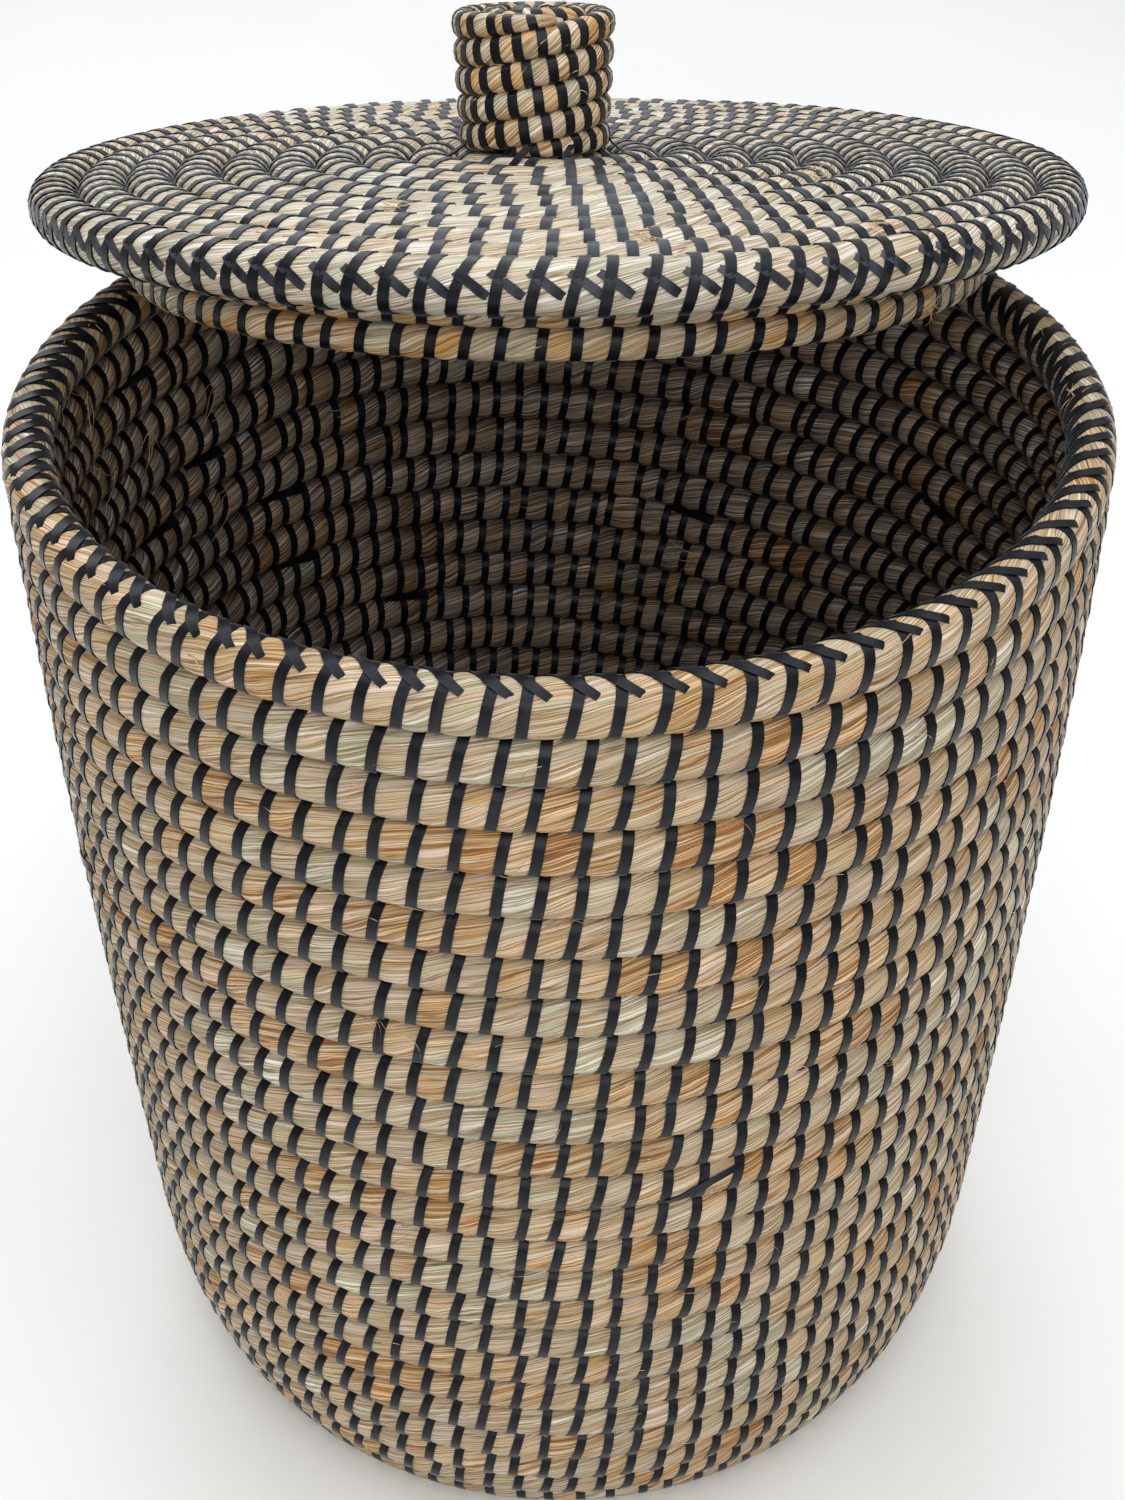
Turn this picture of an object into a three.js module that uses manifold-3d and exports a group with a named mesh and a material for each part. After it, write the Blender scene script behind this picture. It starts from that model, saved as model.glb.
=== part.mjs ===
// A round laundry basket of coiled seagrass with a loose lid, shown with the lid set back on the rim.
// Thick grass coils are laid course beside course and sewn together, from the foot to the rim.
// Millimetres, +Z up. The origin is the centre of the underside of the base, and the front faces -Y.
import * as THREE from 'three';
import Module from 'manifold-3d';

// Driving sizes of the basket.
const COIL = 20; // thickness of the grass coil in the basket and the lid
const RIM_DIAMETER = 450; // over the outside of the rim course
const BASKET_HEIGHT = 497; // from the floor to the top of the rim
const BASE_THICKNESS = 20; // the flat base, as thick as its own coil
const WALL_TAPER = 20.6; // how far each side draws in from the rim to the foot
const TAPER_POWER = 1.6; // above 1, the wall stays upright near the rim
const FOOT_DRAW_IN = 13; // how much further each side rounds in at the foot
const FOOT_BEND_HEIGHT = 80; // height of that rounding above the lowest course
const FOOT_BEND_POWER = 2.4;

// Driving sizes of the lid, its locating ring and its knob.
const LID_OVERHANG = 0; // how far the lid's edge stands out past the basket's rim
const LID_DOME = 6; // rise of the lid from its edge to its middle
const LID_EYE = 15; // radius of the first, innermost course
const RING_COIL = 12.5; // the thinner coil of the locating ring under the lid
const RING_COURSES = 2;
const RING_CLEARANCE = 17; // between the ring and the inside of the basket's mouth, when shut
const KNOB_COIL = 11.4;
const KNOB_COURSES = 5;
const KNOB_DIAMETER = 70;
const KNOB_WAIST = 2.5; // how much narrower the knob is at its foot, each side
const KNOB_OFFSET = -10; // the knob is sewn on a little left of the middle
const KNOB_CAP_CROWN = 3; // rise of the cap that closes the top of the knob

// How the lid lies on the basket.
const LID_TILT = THREE.MathUtils.degToRad(13); // front edge raised
const LID_SET_BACK = 107; // centre of the lid behind the centre of the basket

// Clearances.
const SEAM = 0.8; // between neighbouring courses
const SEAT = 0.35; // between pieces that rest on each other

// How a coil runs: each course is level, then climbs to the next one over a share of its loop.
const LOOP_STEPS = 20;
const CLIMB_SHARE = 0.25;
const BACK_SEAM = THREE.MathUtils.degToRad(135); // where a climb at the back ends
const KNOB_STEPS = 10;
const KNOB_CLIMB_SHARE = 0.5;
const KNOB_SEAM = 0; // where a climb across the front of the knob ends
const TAIL_SHARE = 0.6; // share of a climb that the tapered first and last ends fill
const TAIL_FLATTENING = 0.5; // power by which a tail thins sideways as it thins in height
const PROFILE_SAMPLES = 400;
const SETTLE_ROUNDS = 24;

// Sections of a coil as [across, along] pairs: across is the way out of the surface, along is the
// way to the next course, and 1 is half a thickness. A round coil is free on both faces, and a
// backed coil is flat on the face that is turned away.
const SHOULDER = 0.45;
const RIDGE_SHOULDER = 0.3;
const ROUND_COIL = [
  [1, 0],
  [SHOULDER, 1],
  [-SHOULDER, 1],
  [-1, 0],
  [-SHOULDER, -1],
  [SHOULDER, -1],
];
const BACKED_COIL = [
  [1, 0],
  [RIDGE_SHOULDER, 1],
  [-1, 1],
  [-1, -1],
  [RIDGE_SHOULDER, -1],
];

const FULL_TURN = 2 * Math.PI;
const { lerp, smoothstep } = THREE.MathUtils;

const footZ = COIL / 2;
const rimZ = BASKET_HEIGHT - COIL / 2;
const rimRadius = RIM_DIAMETER / 2 - COIL / 2;
const mouthRadius = RIM_DIAMETER / 2 - COIL;

/** Radius of the middle of the wall at a height. */
function wallRadius(z) {
  const drop = Math.max(0, rimZ - z) / (rimZ - footZ);
  const bend = Math.max(0, footZ + FOOT_BEND_HEIGHT - z) / FOOT_BEND_HEIGHT;
  return rimRadius - WALL_TAPER * drop ** TAPER_POWER - FOOT_DRAW_IN * bend ** FOOT_BEND_POWER;
}

/** A curve as [radius, height] points, read by length: at(length) gives a point and its way out. */
function measuredProfile(points, face) {
  const lengths = [0];
  for (let i = 1; i < points.length; i += 1) {
    lengths.push(lengths[i - 1] + points[i].distanceTo(points[i - 1]));
  }
  const at = (length) => {
    let i = 1;
    while (i < points.length - 1 && lengths[i] < length) {
      i += 1;
    }
    const share = (length - lengths[i - 1]) / (lengths[i] - lengths[i - 1]);
    const along = points[i].clone().sub(points[i - 1]).normalize();
    return {
      point: points[i - 1].clone().lerp(points[i], share),
      out: new THREE.Vector2(along.y, -along.x).multiplyScalar(face),
    };
  };
  return { at, length: lengths[lengths.length - 1] };
}

/** Points of a curve given by a function of a share from 0 to 1. */
function sampled(pointAt) {
  return Array.from({ length: PROFILE_SAMPLES + 1 }, (_, i) => pointAt(i / PROFILE_SAMPLES));
}

/** How far a coil has climbed to the next course at a phase of its loop. */
function climbed(phase, share) {
  return smoothstep(phase, 1 - share, 1);
}

/**
 * Winds a coil round the Z axis and gives the rings of section points along it. Course numbers
 * count along the profile, floor and ceiling are the courses where its tapered tails end, and
 * from and to are counted in loops.
 */
function windCoil({ profile, pitch, thickness, section, steps, share, seam, from, to, floor, ceiling }) {
  const halfSeam = SEAM / 2 / pitch;
  const turns = [from];
  for (let step = Math.floor(from * steps) + 1; step < to * steps - 0.5; step += 1) {
    turns.push(step / steps);
  }
  turns.push(to);
  return turns.map((turn) => {
    const loop = Math.floor(turn + 1 / (4 * steps));
    const course = loop + climbed(turn - loop, share);
    const low = Math.max(course - 0.5, floor) + halfSeam;
    const high = Math.min(course + 0.5, ceiling) - halfSeam;
    const fullness = (high - low) / (1 - 2 * halfSeam);
    const halfWidth = (thickness / 2) * fullness ** TAIL_FLATTENING;
    const angle = seam + turn * FULL_TURN;
    return section.map(([across, along]) => {
      const { point, out } = profile.at(lerp(low, high, (along + 1) / 2) * pitch);
      const place = point.addScaledVector(out, across * halfWidth);
      return new THREE.Vector3(place.x * Math.cos(angle), place.x * Math.sin(angle), place.y);
    });
  });
}

/** Joins rings of points into one closed tube with flat ends. */
function tube(rings) {
  const sides = rings[0].length;
  const index = [];
  for (let ring = 0; ring < rings.length - 1; ring += 1) {
    for (let side = 0; side < sides; side += 1) {
      const a = ring * sides + side;
      const b = ring * sides + ((side + 1) % sides);
      index.push(a, b, a + sides, b, b + sides, a + sides);
    }
  }
  const last = (rings.length - 1) * sides;
  for (let side = 1; side < sides - 1; side += 1) {
    index.push(0, side + 1, side, last, last + side, last + side + 1);
  }
  const geometry = new THREE.BufferGeometry().setFromPoints(rings.flat());
  geometry.setIndex(signedVolume(rings.flat(), index) > 0 ? index : index.reverse());
  geometry.computeVertexNormals();
  return geometry;
}

/** Volume inside a closed mesh, negative if its faces point inwards. */
function signedVolume(points, index) {
  const cross = new THREE.Vector3();
  let sum = 0;
  for (let i = 0; i < index.length; i += 3) {
    sum += points[index[i]].dot(cross.crossVectors(points[index[i + 1]], points[index[i + 2]]));
  }
  return sum / 6;
}

/** Least distance between points of a tube that lie at least half a loop apart along it. */
function leastGap(rings, steps) {
  let least = Infinity;
  for (let i = 0; i < rings.length; i += 1) {
    for (let j = i + Math.ceil(steps / 2); j < rings.length; j += 1) {
      for (const a of rings[i]) {
        for (const b of rings[j]) {
          least = Math.min(least, a.distanceToSquared(b));
        }
      }
    }
  }
  return Math.sqrt(least);
}

/** A named mesh with a material of its own. */
function piece(name, geometry, color, roughness) {
  const mesh = new THREE.Mesh(geometry, new THREE.MeshStandardMaterial({ color, roughness, metalness: 0 }));
  mesh.name = name;
  return mesh;
}

/** A mesh wound from a coil, which prints the least gap between its own courses. */
function coilPiece(name, coil, color) {
  const rings = windCoil(coil);
  if (coil.to - coil.from > 1) {
    console.log(`${name}: least gap between its courses ${leastGap(rings, coil.steps).toFixed(2)} mm`);
  }
  return piece(name, tube(rings), color, 0.85);
}

/** A solid of revolution round Z, with its corners in line with those of the coils. */
function turned(points) {
  return new THREE.LatheGeometry(points, LOOP_STEPS, BACK_SEAM + Math.PI / 2).rotateX(Math.PI / 2);
}

const wasm = await Module();
wasm.setup();

/** The closed solid of a mesh, placed by a matrix. */
function solid(mesh, matrix) {
  const geometry = mesh.geometry.clone().applyMatrix4(matrix);
  return new wasm.Manifold(
    new wasm.Mesh({
      numProp: 3,
      vertProperties: new Float32Array(geometry.attributes.position.array),
      triVerts: new Uint32Array(geometry.index.array),
    }),
  );
}

/** Height at which meshes come to rest on others when they are let down onto them. */
function restingHeight(movers, supports, matrix, low, high) {
  const fixed = supports.map((mesh) => solid(mesh, new THREE.Matrix4()));
  let hit = low;
  let clear = high;
  for (let round = 0; round < SETTLE_ROUNDS; round += 1) {
    const height = (hit + clear) / 2;
    const lifted = new THREE.Matrix4().makeTranslation(0, 0, height).multiply(matrix);
    const moved = movers.map((mesh) => solid(mesh, lifted));
    if (moved.some((mover) => fixed.some((support) => !mover.intersect(support).isEmpty()))) {
      hit = height;
    } else {
      clear = height;
    }
  }
  return clear + SEAT;
}

// The wall: level courses from the base's edge, numbered 0, up to the rim.
const wallProfile = measuredProfile(
  sampled((share) => {
    const z = lerp(footZ, rimZ + COIL, share);
    return new THREE.Vector2(wallRadius(z), z);
  }),
  1,
);
const wallLength = wallProfile.length - COIL;
const rimCourse = Math.round(wallLength / COIL);
const wallPitch = wallLength / rimCourse;
const buttTrim = SEAT / (FULL_TURN * rimRadius); // clearance between butted coil ends, in loops
const tail = CLIMB_SHARE * TAIL_SHARE;
const wallCoil = {
  profile: wallProfile,
  pitch: wallPitch,
  thickness: COIL,
  section: ROUND_COIL,
  steps: LOOP_STEPS,
  share: CLIMB_SHARE,
  seam: BACK_SEAM,
  floor: 0.5,
  ceiling: rimCourse + 0.5,
};
const wall = coilPiece('wall_coil', { ...wallCoil, from: 1 - tail, to: rimCourse - buttTrim }, 0xc8a878);
const rimEnd = rimCourse + 1 - CLIMB_SHARE + tail;
const rim = coilPiece('rim_coil', { ...wallCoil, from: rimCourse, to: rimEnd }, 0xcdb084);

// The base: a flat disc whose edge is the lowest course, with a seat for the wall's first course.
const edge = wallProfile.at(0);
const seat = wallProfile.at(wallPitch / 2 - SEAM / 2);
const seatOuter = seat.point.clone().addScaledVector(seat.out, (SHOULDER * COIL) / 2);
const seatInner = seat.point.clone().addScaledVector(seat.out, (-SHOULDER * COIL) / 2);
const base = piece(
  'base_disc',
  turned([
    new THREE.Vector2(0, 0),
    new THREE.Vector2(edge.point.x, 0),
    new THREE.Vector2(edge.point.x + COIL / 2, edge.point.y),
    seatOuter,
    seatInner,
    new THREE.Vector2(seatInner.x - COIL / 2, BASE_THICKNESS),
    new THREE.Vector2(0, BASE_THICKNESS),
  ]),
  0xb8966a,
  0.9,
);

// The lid: a shallow dome of courses round an eye, finished by a rim course. Its own middle, level
// with the middle of its rim course, is the origin of the lid's group.
const lidRadius = RIM_DIAMETER / 2 + LID_OVERHANG - COIL / 2;
const lidCourses = Math.round((lidRadius - LID_EYE) / COIL);
const lidHeight = (radius) => LID_DOME * (1 - (radius / lidRadius) ** 2);
const lidProfile = measuredProfile(
  sampled((share) => {
    const radius = lerp(LID_EYE - COIL / 2, lidRadius + COIL, share);
    return new THREE.Vector2(radius, lidHeight(radius));
  }),
  -1,
);
const lidPitch = (lidProfile.length - 1.5 * COIL) / lidCourses;
const lidStart = COIL / 2 / lidPitch; // the first course's number, counted from the inner edge
const lidCoil = {
  profile: { at: (length) => lidProfile.at(length + lidStart * lidPitch) },
  pitch: lidPitch,
  thickness: COIL,
  section: BACKED_COIL,
  steps: LOOP_STEPS,
  share: CLIMB_SHARE,
  seam: BACK_SEAM,
  floor: -0.5,
  ceiling: lidCourses + 0.5,
};
const lidDisc = coilPiece('lid_coil', { ...lidCoil, from: 0, to: lidCourses - buttTrim }, 0xd6bd92);
const lidRim = coilPiece(
  'lid_rim_coil',
  { ...lidCoil, section: ROUND_COIL, from: lidCourses, to: lidCourses + 1 - CLIMB_SHARE + tail },
  0xd0b284,
);

// The locating ring under the lid, wound downwards from the lid's underside.
const ringOuter = mouthRadius - RING_CLEARANCE;
const ringRadius = ringOuter - RING_COIL / 2;
const ringTop = lidHeight(ringOuter) - COIL / 2 - SEAT;
const ringDepth = RING_COURSES * RING_COIL;
const ringProfile = measuredProfile(
  sampled((share) => new THREE.Vector2(ringRadius, ringTop - share * ringDepth)),
  -1,
);
const ring = coilPiece(
  'lid_ring_coil',
  {
    profile: { at: (length) => ringProfile.at(length + RING_COIL / 2) },
    pitch: RING_COIL,
    thickness: RING_COIL,
    section: BACKED_COIL,
    steps: LOOP_STEPS,
    share: CLIMB_SHARE,
    seam: BACK_SEAM,
    from: -tail,
    to: RING_COURSES - CLIMB_SHARE + tail,
    floor: -0.5,
    ceiling: RING_COURSES - 0.5,
  },
  0xc2a06e,
);

// The knob: a drum wound from a thinner coil, closed by a crowned cap.
const knobHeight = KNOB_COURSES * KNOB_COIL;
const knobRadius = KNOB_DIAMETER / 2 - KNOB_COIL / 2;
const knobTail = KNOB_CLIMB_SHARE * TAIL_SHARE;
const knobProfile = measuredProfile(
  sampled((share) => new THREE.Vector2(knobRadius - KNOB_WAIST * (1 - share), share * knobHeight)),
  1,
);
const knobPitch = knobProfile.length / KNOB_COURSES;
const drum = coilPiece(
  'knob_coil',
  {
    profile: { at: (length) => knobProfile.at(length + knobPitch / 2) },
    pitch: knobPitch,
    thickness: KNOB_COIL,
    section: BACKED_COIL,
    steps: KNOB_STEPS,
    share: KNOB_CLIMB_SHARE,
    seam: KNOB_SEAM,
    from: -knobTail,
    to: KNOB_COURSES - KNOB_CLIMB_SHARE + knobTail,
    floor: -0.5,
    ceiling: KNOB_COURSES - 0.5,
  },
  0xcaa873,
);
const capFloor = knobHeight - KNOB_COIL;
const drumBore = knobRadius - KNOB_WAIST / KNOB_COURSES - KNOB_COIL / 2;
const capRadius = drumBore * Math.cos(Math.PI / KNOB_STEPS) - SEAT;
const cap = piece(
  'knob_cap',
  turned([
    new THREE.Vector2(0, capFloor),
    new THREE.Vector2(capRadius, capFloor),
    new THREE.Vector2(capRadius, knobHeight - KNOB_CAP_CROWN),
    new THREE.Vector2(capRadius / 2, knobHeight),
    new THREE.Vector2(0, knobHeight),
  ]),
  0xc4a170,
  0.85,
);
const knob = new THREE.Group();
knob.add(drum, cap);
const knobShift = new THREE.Matrix4().makeTranslation(KNOB_OFFSET, 0, 0);
const knobSeat = restingHeight([drum], [lidDisc], knobShift, 0, 2 * COIL + LID_DOME);
knob.position.set(KNOB_OFFSET, 0, knobSeat);

// The lid as a whole, tilted and set back, let down until its ring rests on the basket's rim.
const lid = new THREE.Group();
lid.add(lidDisc, lidRim, ring, knob);
lid.rotation.x = -LID_TILT;
const lidTurn = new THREE.Matrix4()
  .makeTranslation(0, LID_SET_BACK, 0)
  .multiply(new THREE.Matrix4().makeRotationX(-LID_TILT));
const lidSeat = restingHeight([ring, lidRim, lidDisc], [rim, wall], lidTurn, rimZ, BASKET_HEIGHT + RIM_DIAMETER);
lid.position.set(0, LID_SET_BACK, lidSeat);
console.log(`the lid's middle rests ${lidSeat.toFixed(1)} mm above the floor`);

const basket = new THREE.Group();
basket.add(base, wall, rim, lid);

export default basket;
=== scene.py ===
"""Looks of a coiled seagrass laundry basket with a loose lid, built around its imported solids.

Every coil is modelled straight, as a bundle of grass that its stitches pinch, and is then wound
along the same courses as the solids. The black sewing strip is modelled as one hoop, repeated for
every stitch and wound with the bundle, so the two always fit. Metres, +Z up, the front faces -Y.
"""

import logging
import math
from collections.abc import Callable, Iterator
from contextlib import contextmanager
from dataclasses import dataclass, field, replace
from enum import Enum

import bpy
import numpy as np
from mathutils import Matrix, Vector


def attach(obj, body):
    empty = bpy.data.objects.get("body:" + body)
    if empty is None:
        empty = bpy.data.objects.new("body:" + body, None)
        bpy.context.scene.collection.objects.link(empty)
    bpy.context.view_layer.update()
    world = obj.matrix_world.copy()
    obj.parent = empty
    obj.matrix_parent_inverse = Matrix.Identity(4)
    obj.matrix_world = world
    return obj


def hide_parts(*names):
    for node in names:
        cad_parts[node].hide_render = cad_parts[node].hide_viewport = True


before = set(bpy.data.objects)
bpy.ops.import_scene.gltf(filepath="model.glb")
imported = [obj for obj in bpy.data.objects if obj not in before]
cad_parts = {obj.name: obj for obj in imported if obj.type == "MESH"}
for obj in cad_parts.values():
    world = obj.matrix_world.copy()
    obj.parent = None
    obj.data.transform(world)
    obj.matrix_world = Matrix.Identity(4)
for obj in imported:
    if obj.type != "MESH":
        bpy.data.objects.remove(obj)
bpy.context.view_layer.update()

LOG = logging.getLogger("basket")
MM = 0.001
FULL_TURN = 2 * math.pi
ACROSS_X = (0.0, math.pi / 2, 0.0)
SMOOTH_ANGLE = math.radians(45)
MERGE_DISTANCE = 1e-5
PROFILE_POINTS = 401
KNOTS_PER_LOOP = 16
WALL_TWIST = 18.0
LID_TWIST = -18.0
KNOB_TWIST = 34.0
FIBRE_MAP = "fibre"
# Tone layer: each stretch's own hue and light, with painted shade taken off the light, and a shift.
TONE_LAYER = "tone"
TONE_SHIFT = 4.0
STRIP_STEP = 0.37
PLAIN_TONE = np.zeros((1, 3))
NOISE_MIDDLE = (0.3, 0.7)

Array = np.ndarray
Material = bpy.types.Material
Piece = bpy.types.Object
Socket = bpy.types.NodeSocket
Range = tuple[float, float]
Triple = tuple[float, float, float]
Scale = tuple[tuple[float, Triple], ...]
Spots = tuple[tuple[int, float], ...]


class Body(Enum):
    """The bodies that pieces ride on."""

    BASKET = "basket"
    LID = "lid"


class Slot(Enum):
    """The record's material slots."""

    BASE = "base_grass"
    WALL = "wall_grass"
    LID = "lid_grass"
    KNOB = "knob_grass"
    STRIP = "binding_strip"


def smoothstep(share: Array) -> Array:
    """Eased share from 0 to 1, held at both ends."""
    held = np.clip(share, 0.0, 1.0)
    return held * held * (3.0 - 2.0 * held)


def behind(angle: Array, sharpness: float, reach: float = 0.0) -> Array:
    """Eased share of the way behind a coil, at an angle round its section that is 0 on its face."""
    return smoothstep(reach - sharpness * np.cos(angle))


def linear(colour: Triple) -> tuple[float, float, float, float]:
    """A screen colour from 0 to 255 as a shader colour.

    Args:
        colour: red, green and blue as a screen shows them.

    Returns:
        Linear red, green and blue, and an alpha of 1.
    """
    shares = [c / 255.0 for c in colour]
    red, green, blue = [s / 12.92 if s <= 0.04045 else ((s + 0.055) / 1.055) ** 2.4 for s in shares]
    return red, green, blue, 1.0


# Finishes


class NodeBench:
    """A material's node tree, with short ways to add and join nodes."""

    def __init__(self, name: str) -> None:
        """Starts a material with its shader."""
        self.material = bpy.data.materials.new(name)
        self.material.use_nodes = True
        self.tree = self.material.node_tree

    def add(self, kind: str, **inputs: object) -> bpy.types.Node:
        """Adds a node.

        Args:
            kind: the node's type, without the words that every type starts with.
            inputs: what to feed it, as feed says.

        Returns:
            The node.
        """
        node = self.tree.nodes.new(f"ShaderNode{kind}")
        self.feed(node, **inputs)
        return node

    def feed(self, node: bpy.types.Node, **inputs: object) -> None:
        """Links or sets a node's sockets, by their names with _ for spaces."""
        for name, value in inputs.items():
            self.join(node.inputs[name.replace("_", " ")], value)

    def join(self, socket: Socket, value: object) -> None:
        """Links a socket to another one, or sets its value."""
        if isinstance(value, Socket):
            self.tree.links.new(value, socket)
        else:
            socket.default_value = value

    def finish(self, **inputs: object) -> Material:
        """Feeds the shader and gives the material."""
        self.feed(self.tree.nodes["Principled BSDF"], **inputs)
        return self.material

    def math(self, operation: str, first: object, second: object) -> Socket:
        """Two values or sockets joined by a named operation."""
        node = self.add("Math")
        node.operation = operation
        self.join(node.inputs[0], first)
        self.join(node.inputs[1], second)
        return node.outputs[0]

    def plus(self, first: object, second: object) -> Socket:
        """The sum of two values or sockets."""
        return self.math("ADD", first, second)

    def times(self, first: object, second: object) -> Socket:
        """The product of two values or sockets."""
        return self.math("MULTIPLY", first, second)

    def fibre_place(self) -> Socket:
        """Coordinates of the fibre map: metres along and round a coil."""
        place = self.add("UVMap")
        place.uv_map = FIBRE_MAP
        return place.outputs["UV"]

    def object_place(self) -> Socket:
        """Coordinates of the object, in metres."""
        return self.add("TexCoord").outputs["Object"]

    def tone(self) -> tuple[Socket, ...]:
        """The tone layer's hue, light and shift, which are 0 where a mesh has no such layer."""
        layer = self.add("Attribute")
        layer.attribute_name = TONE_LAYER
        return tuple(self.add("SeparateXYZ", Vector=layer.outputs["Vector"]).outputs)

    def turned(self, vector: Socket, turn: object) -> Socket:
        """Coordinates turned in their plane by an angle in radians."""
        around = self.add("CombineXYZ", X=0.0, Y=0.0, Z=turn)
        return self.add("Mapping", Vector=vector, Rotation=around.outputs[0]).outputs[0]

    def moved(self, vector: Socket, along: object, across: object) -> Socket:
        """Coordinates moved along and across."""
        step = self.add("CombineXYZ", X=along, Y=across, Z=0.0)
        node = self.add("VectorMath")
        node.operation = "ADD"
        self.join(node.inputs[0], vector)
        self.join(node.inputs[1], step.outputs[0])
        return node.outputs[0]

    def stretched(self, vector: Socket, density: Triple) -> Socket:
        """Coordinates stretched to some features per metre."""
        return self.add("Mapping", Vector=vector, Scale=density).outputs[0]

    def strands(self, vector: Socket, density: Triple) -> tuple[Socket, ...]:
        """Cells in the plane of some coordinates.

        Args:
            vector: the coordinates.
            density: cells per metre along each axis.

        Returns:
            Two numbers from 0 to 1 that each cell has of its own, and the distance to its edge.
        """
        place = self.stretched(vector, density)
        cells = self.add("TexVoronoi", Vector=place, Scale=1.0)
        own = self.add("SeparateXYZ", Vector=cells.outputs["Color"])
        edges = self.add("TexVoronoi", Vector=place, Scale=1.0)
        edges.feature = "DISTANCE_TO_EDGE"
        cells.voronoi_dimensions = edges.voronoi_dimensions = "2D"
        return own.outputs[0], own.outputs[1], edges.outputs["Distance"]

    def noise(
        self, vector: Socket, density: Triple, detail: float, roughness: float = 0.5, dimensions: str = "2D"
    ) -> Socket:
        """Noise with some features per metre along each axis."""
        place = self.stretched(vector, density)
        node = self.add("TexNoise", Vector=place, Scale=1.0, Detail=detail, Roughness=roughness)
        node.noise_dimensions = dimensions
        return node.outputs["Fac"]

    def ramp(self, value: object, stops: Scale) -> Socket:
        """A colour read off a scale of screen colours."""
        node = self.add("ValToRGB", Fac=value)
        elements = node.color_ramp.elements
        while len(elements) < len(stops):
            elements.new(1.0)
        for element, (place, colour) in zip(elements, stops):
            element.position = place
            element.color = linear(colour)
        return node.outputs["Color"]

    def band(self, value: object, low: float, high: float, start: float, end: float) -> Socket:
        """A value carried from one range to another and held at its ends."""
        node = self.add("MapRange", Value=value, From_Min=low, From_Max=high, To_Min=start, To_Max=end)
        return node.outputs["Result"]

    def spread(self, noise: Socket, start: float, end: float) -> Socket:
        """The middle of a noise's range carried to another range."""
        return self.band(noise, *NOISE_MIDDLE, start, end)

    def mix(self, factor: object, first: object, second: object, blend: str = "MIX") -> Socket:
        """Two colours mixed."""
        node = self.add("Mix")
        node.data_type = "RGBA"
        node.blend_type = blend
        self.feed(node, Factor=factor, A=first, B=second)
        return node.outputs["Result"]

    def relief(self, height: Socket, strength: float, depth: float) -> Socket:
        """The way that a surface with some relief faces."""
        return self.add("Bump", Strength=strength, Distance=depth, Height=height).outputs[0]


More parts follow.
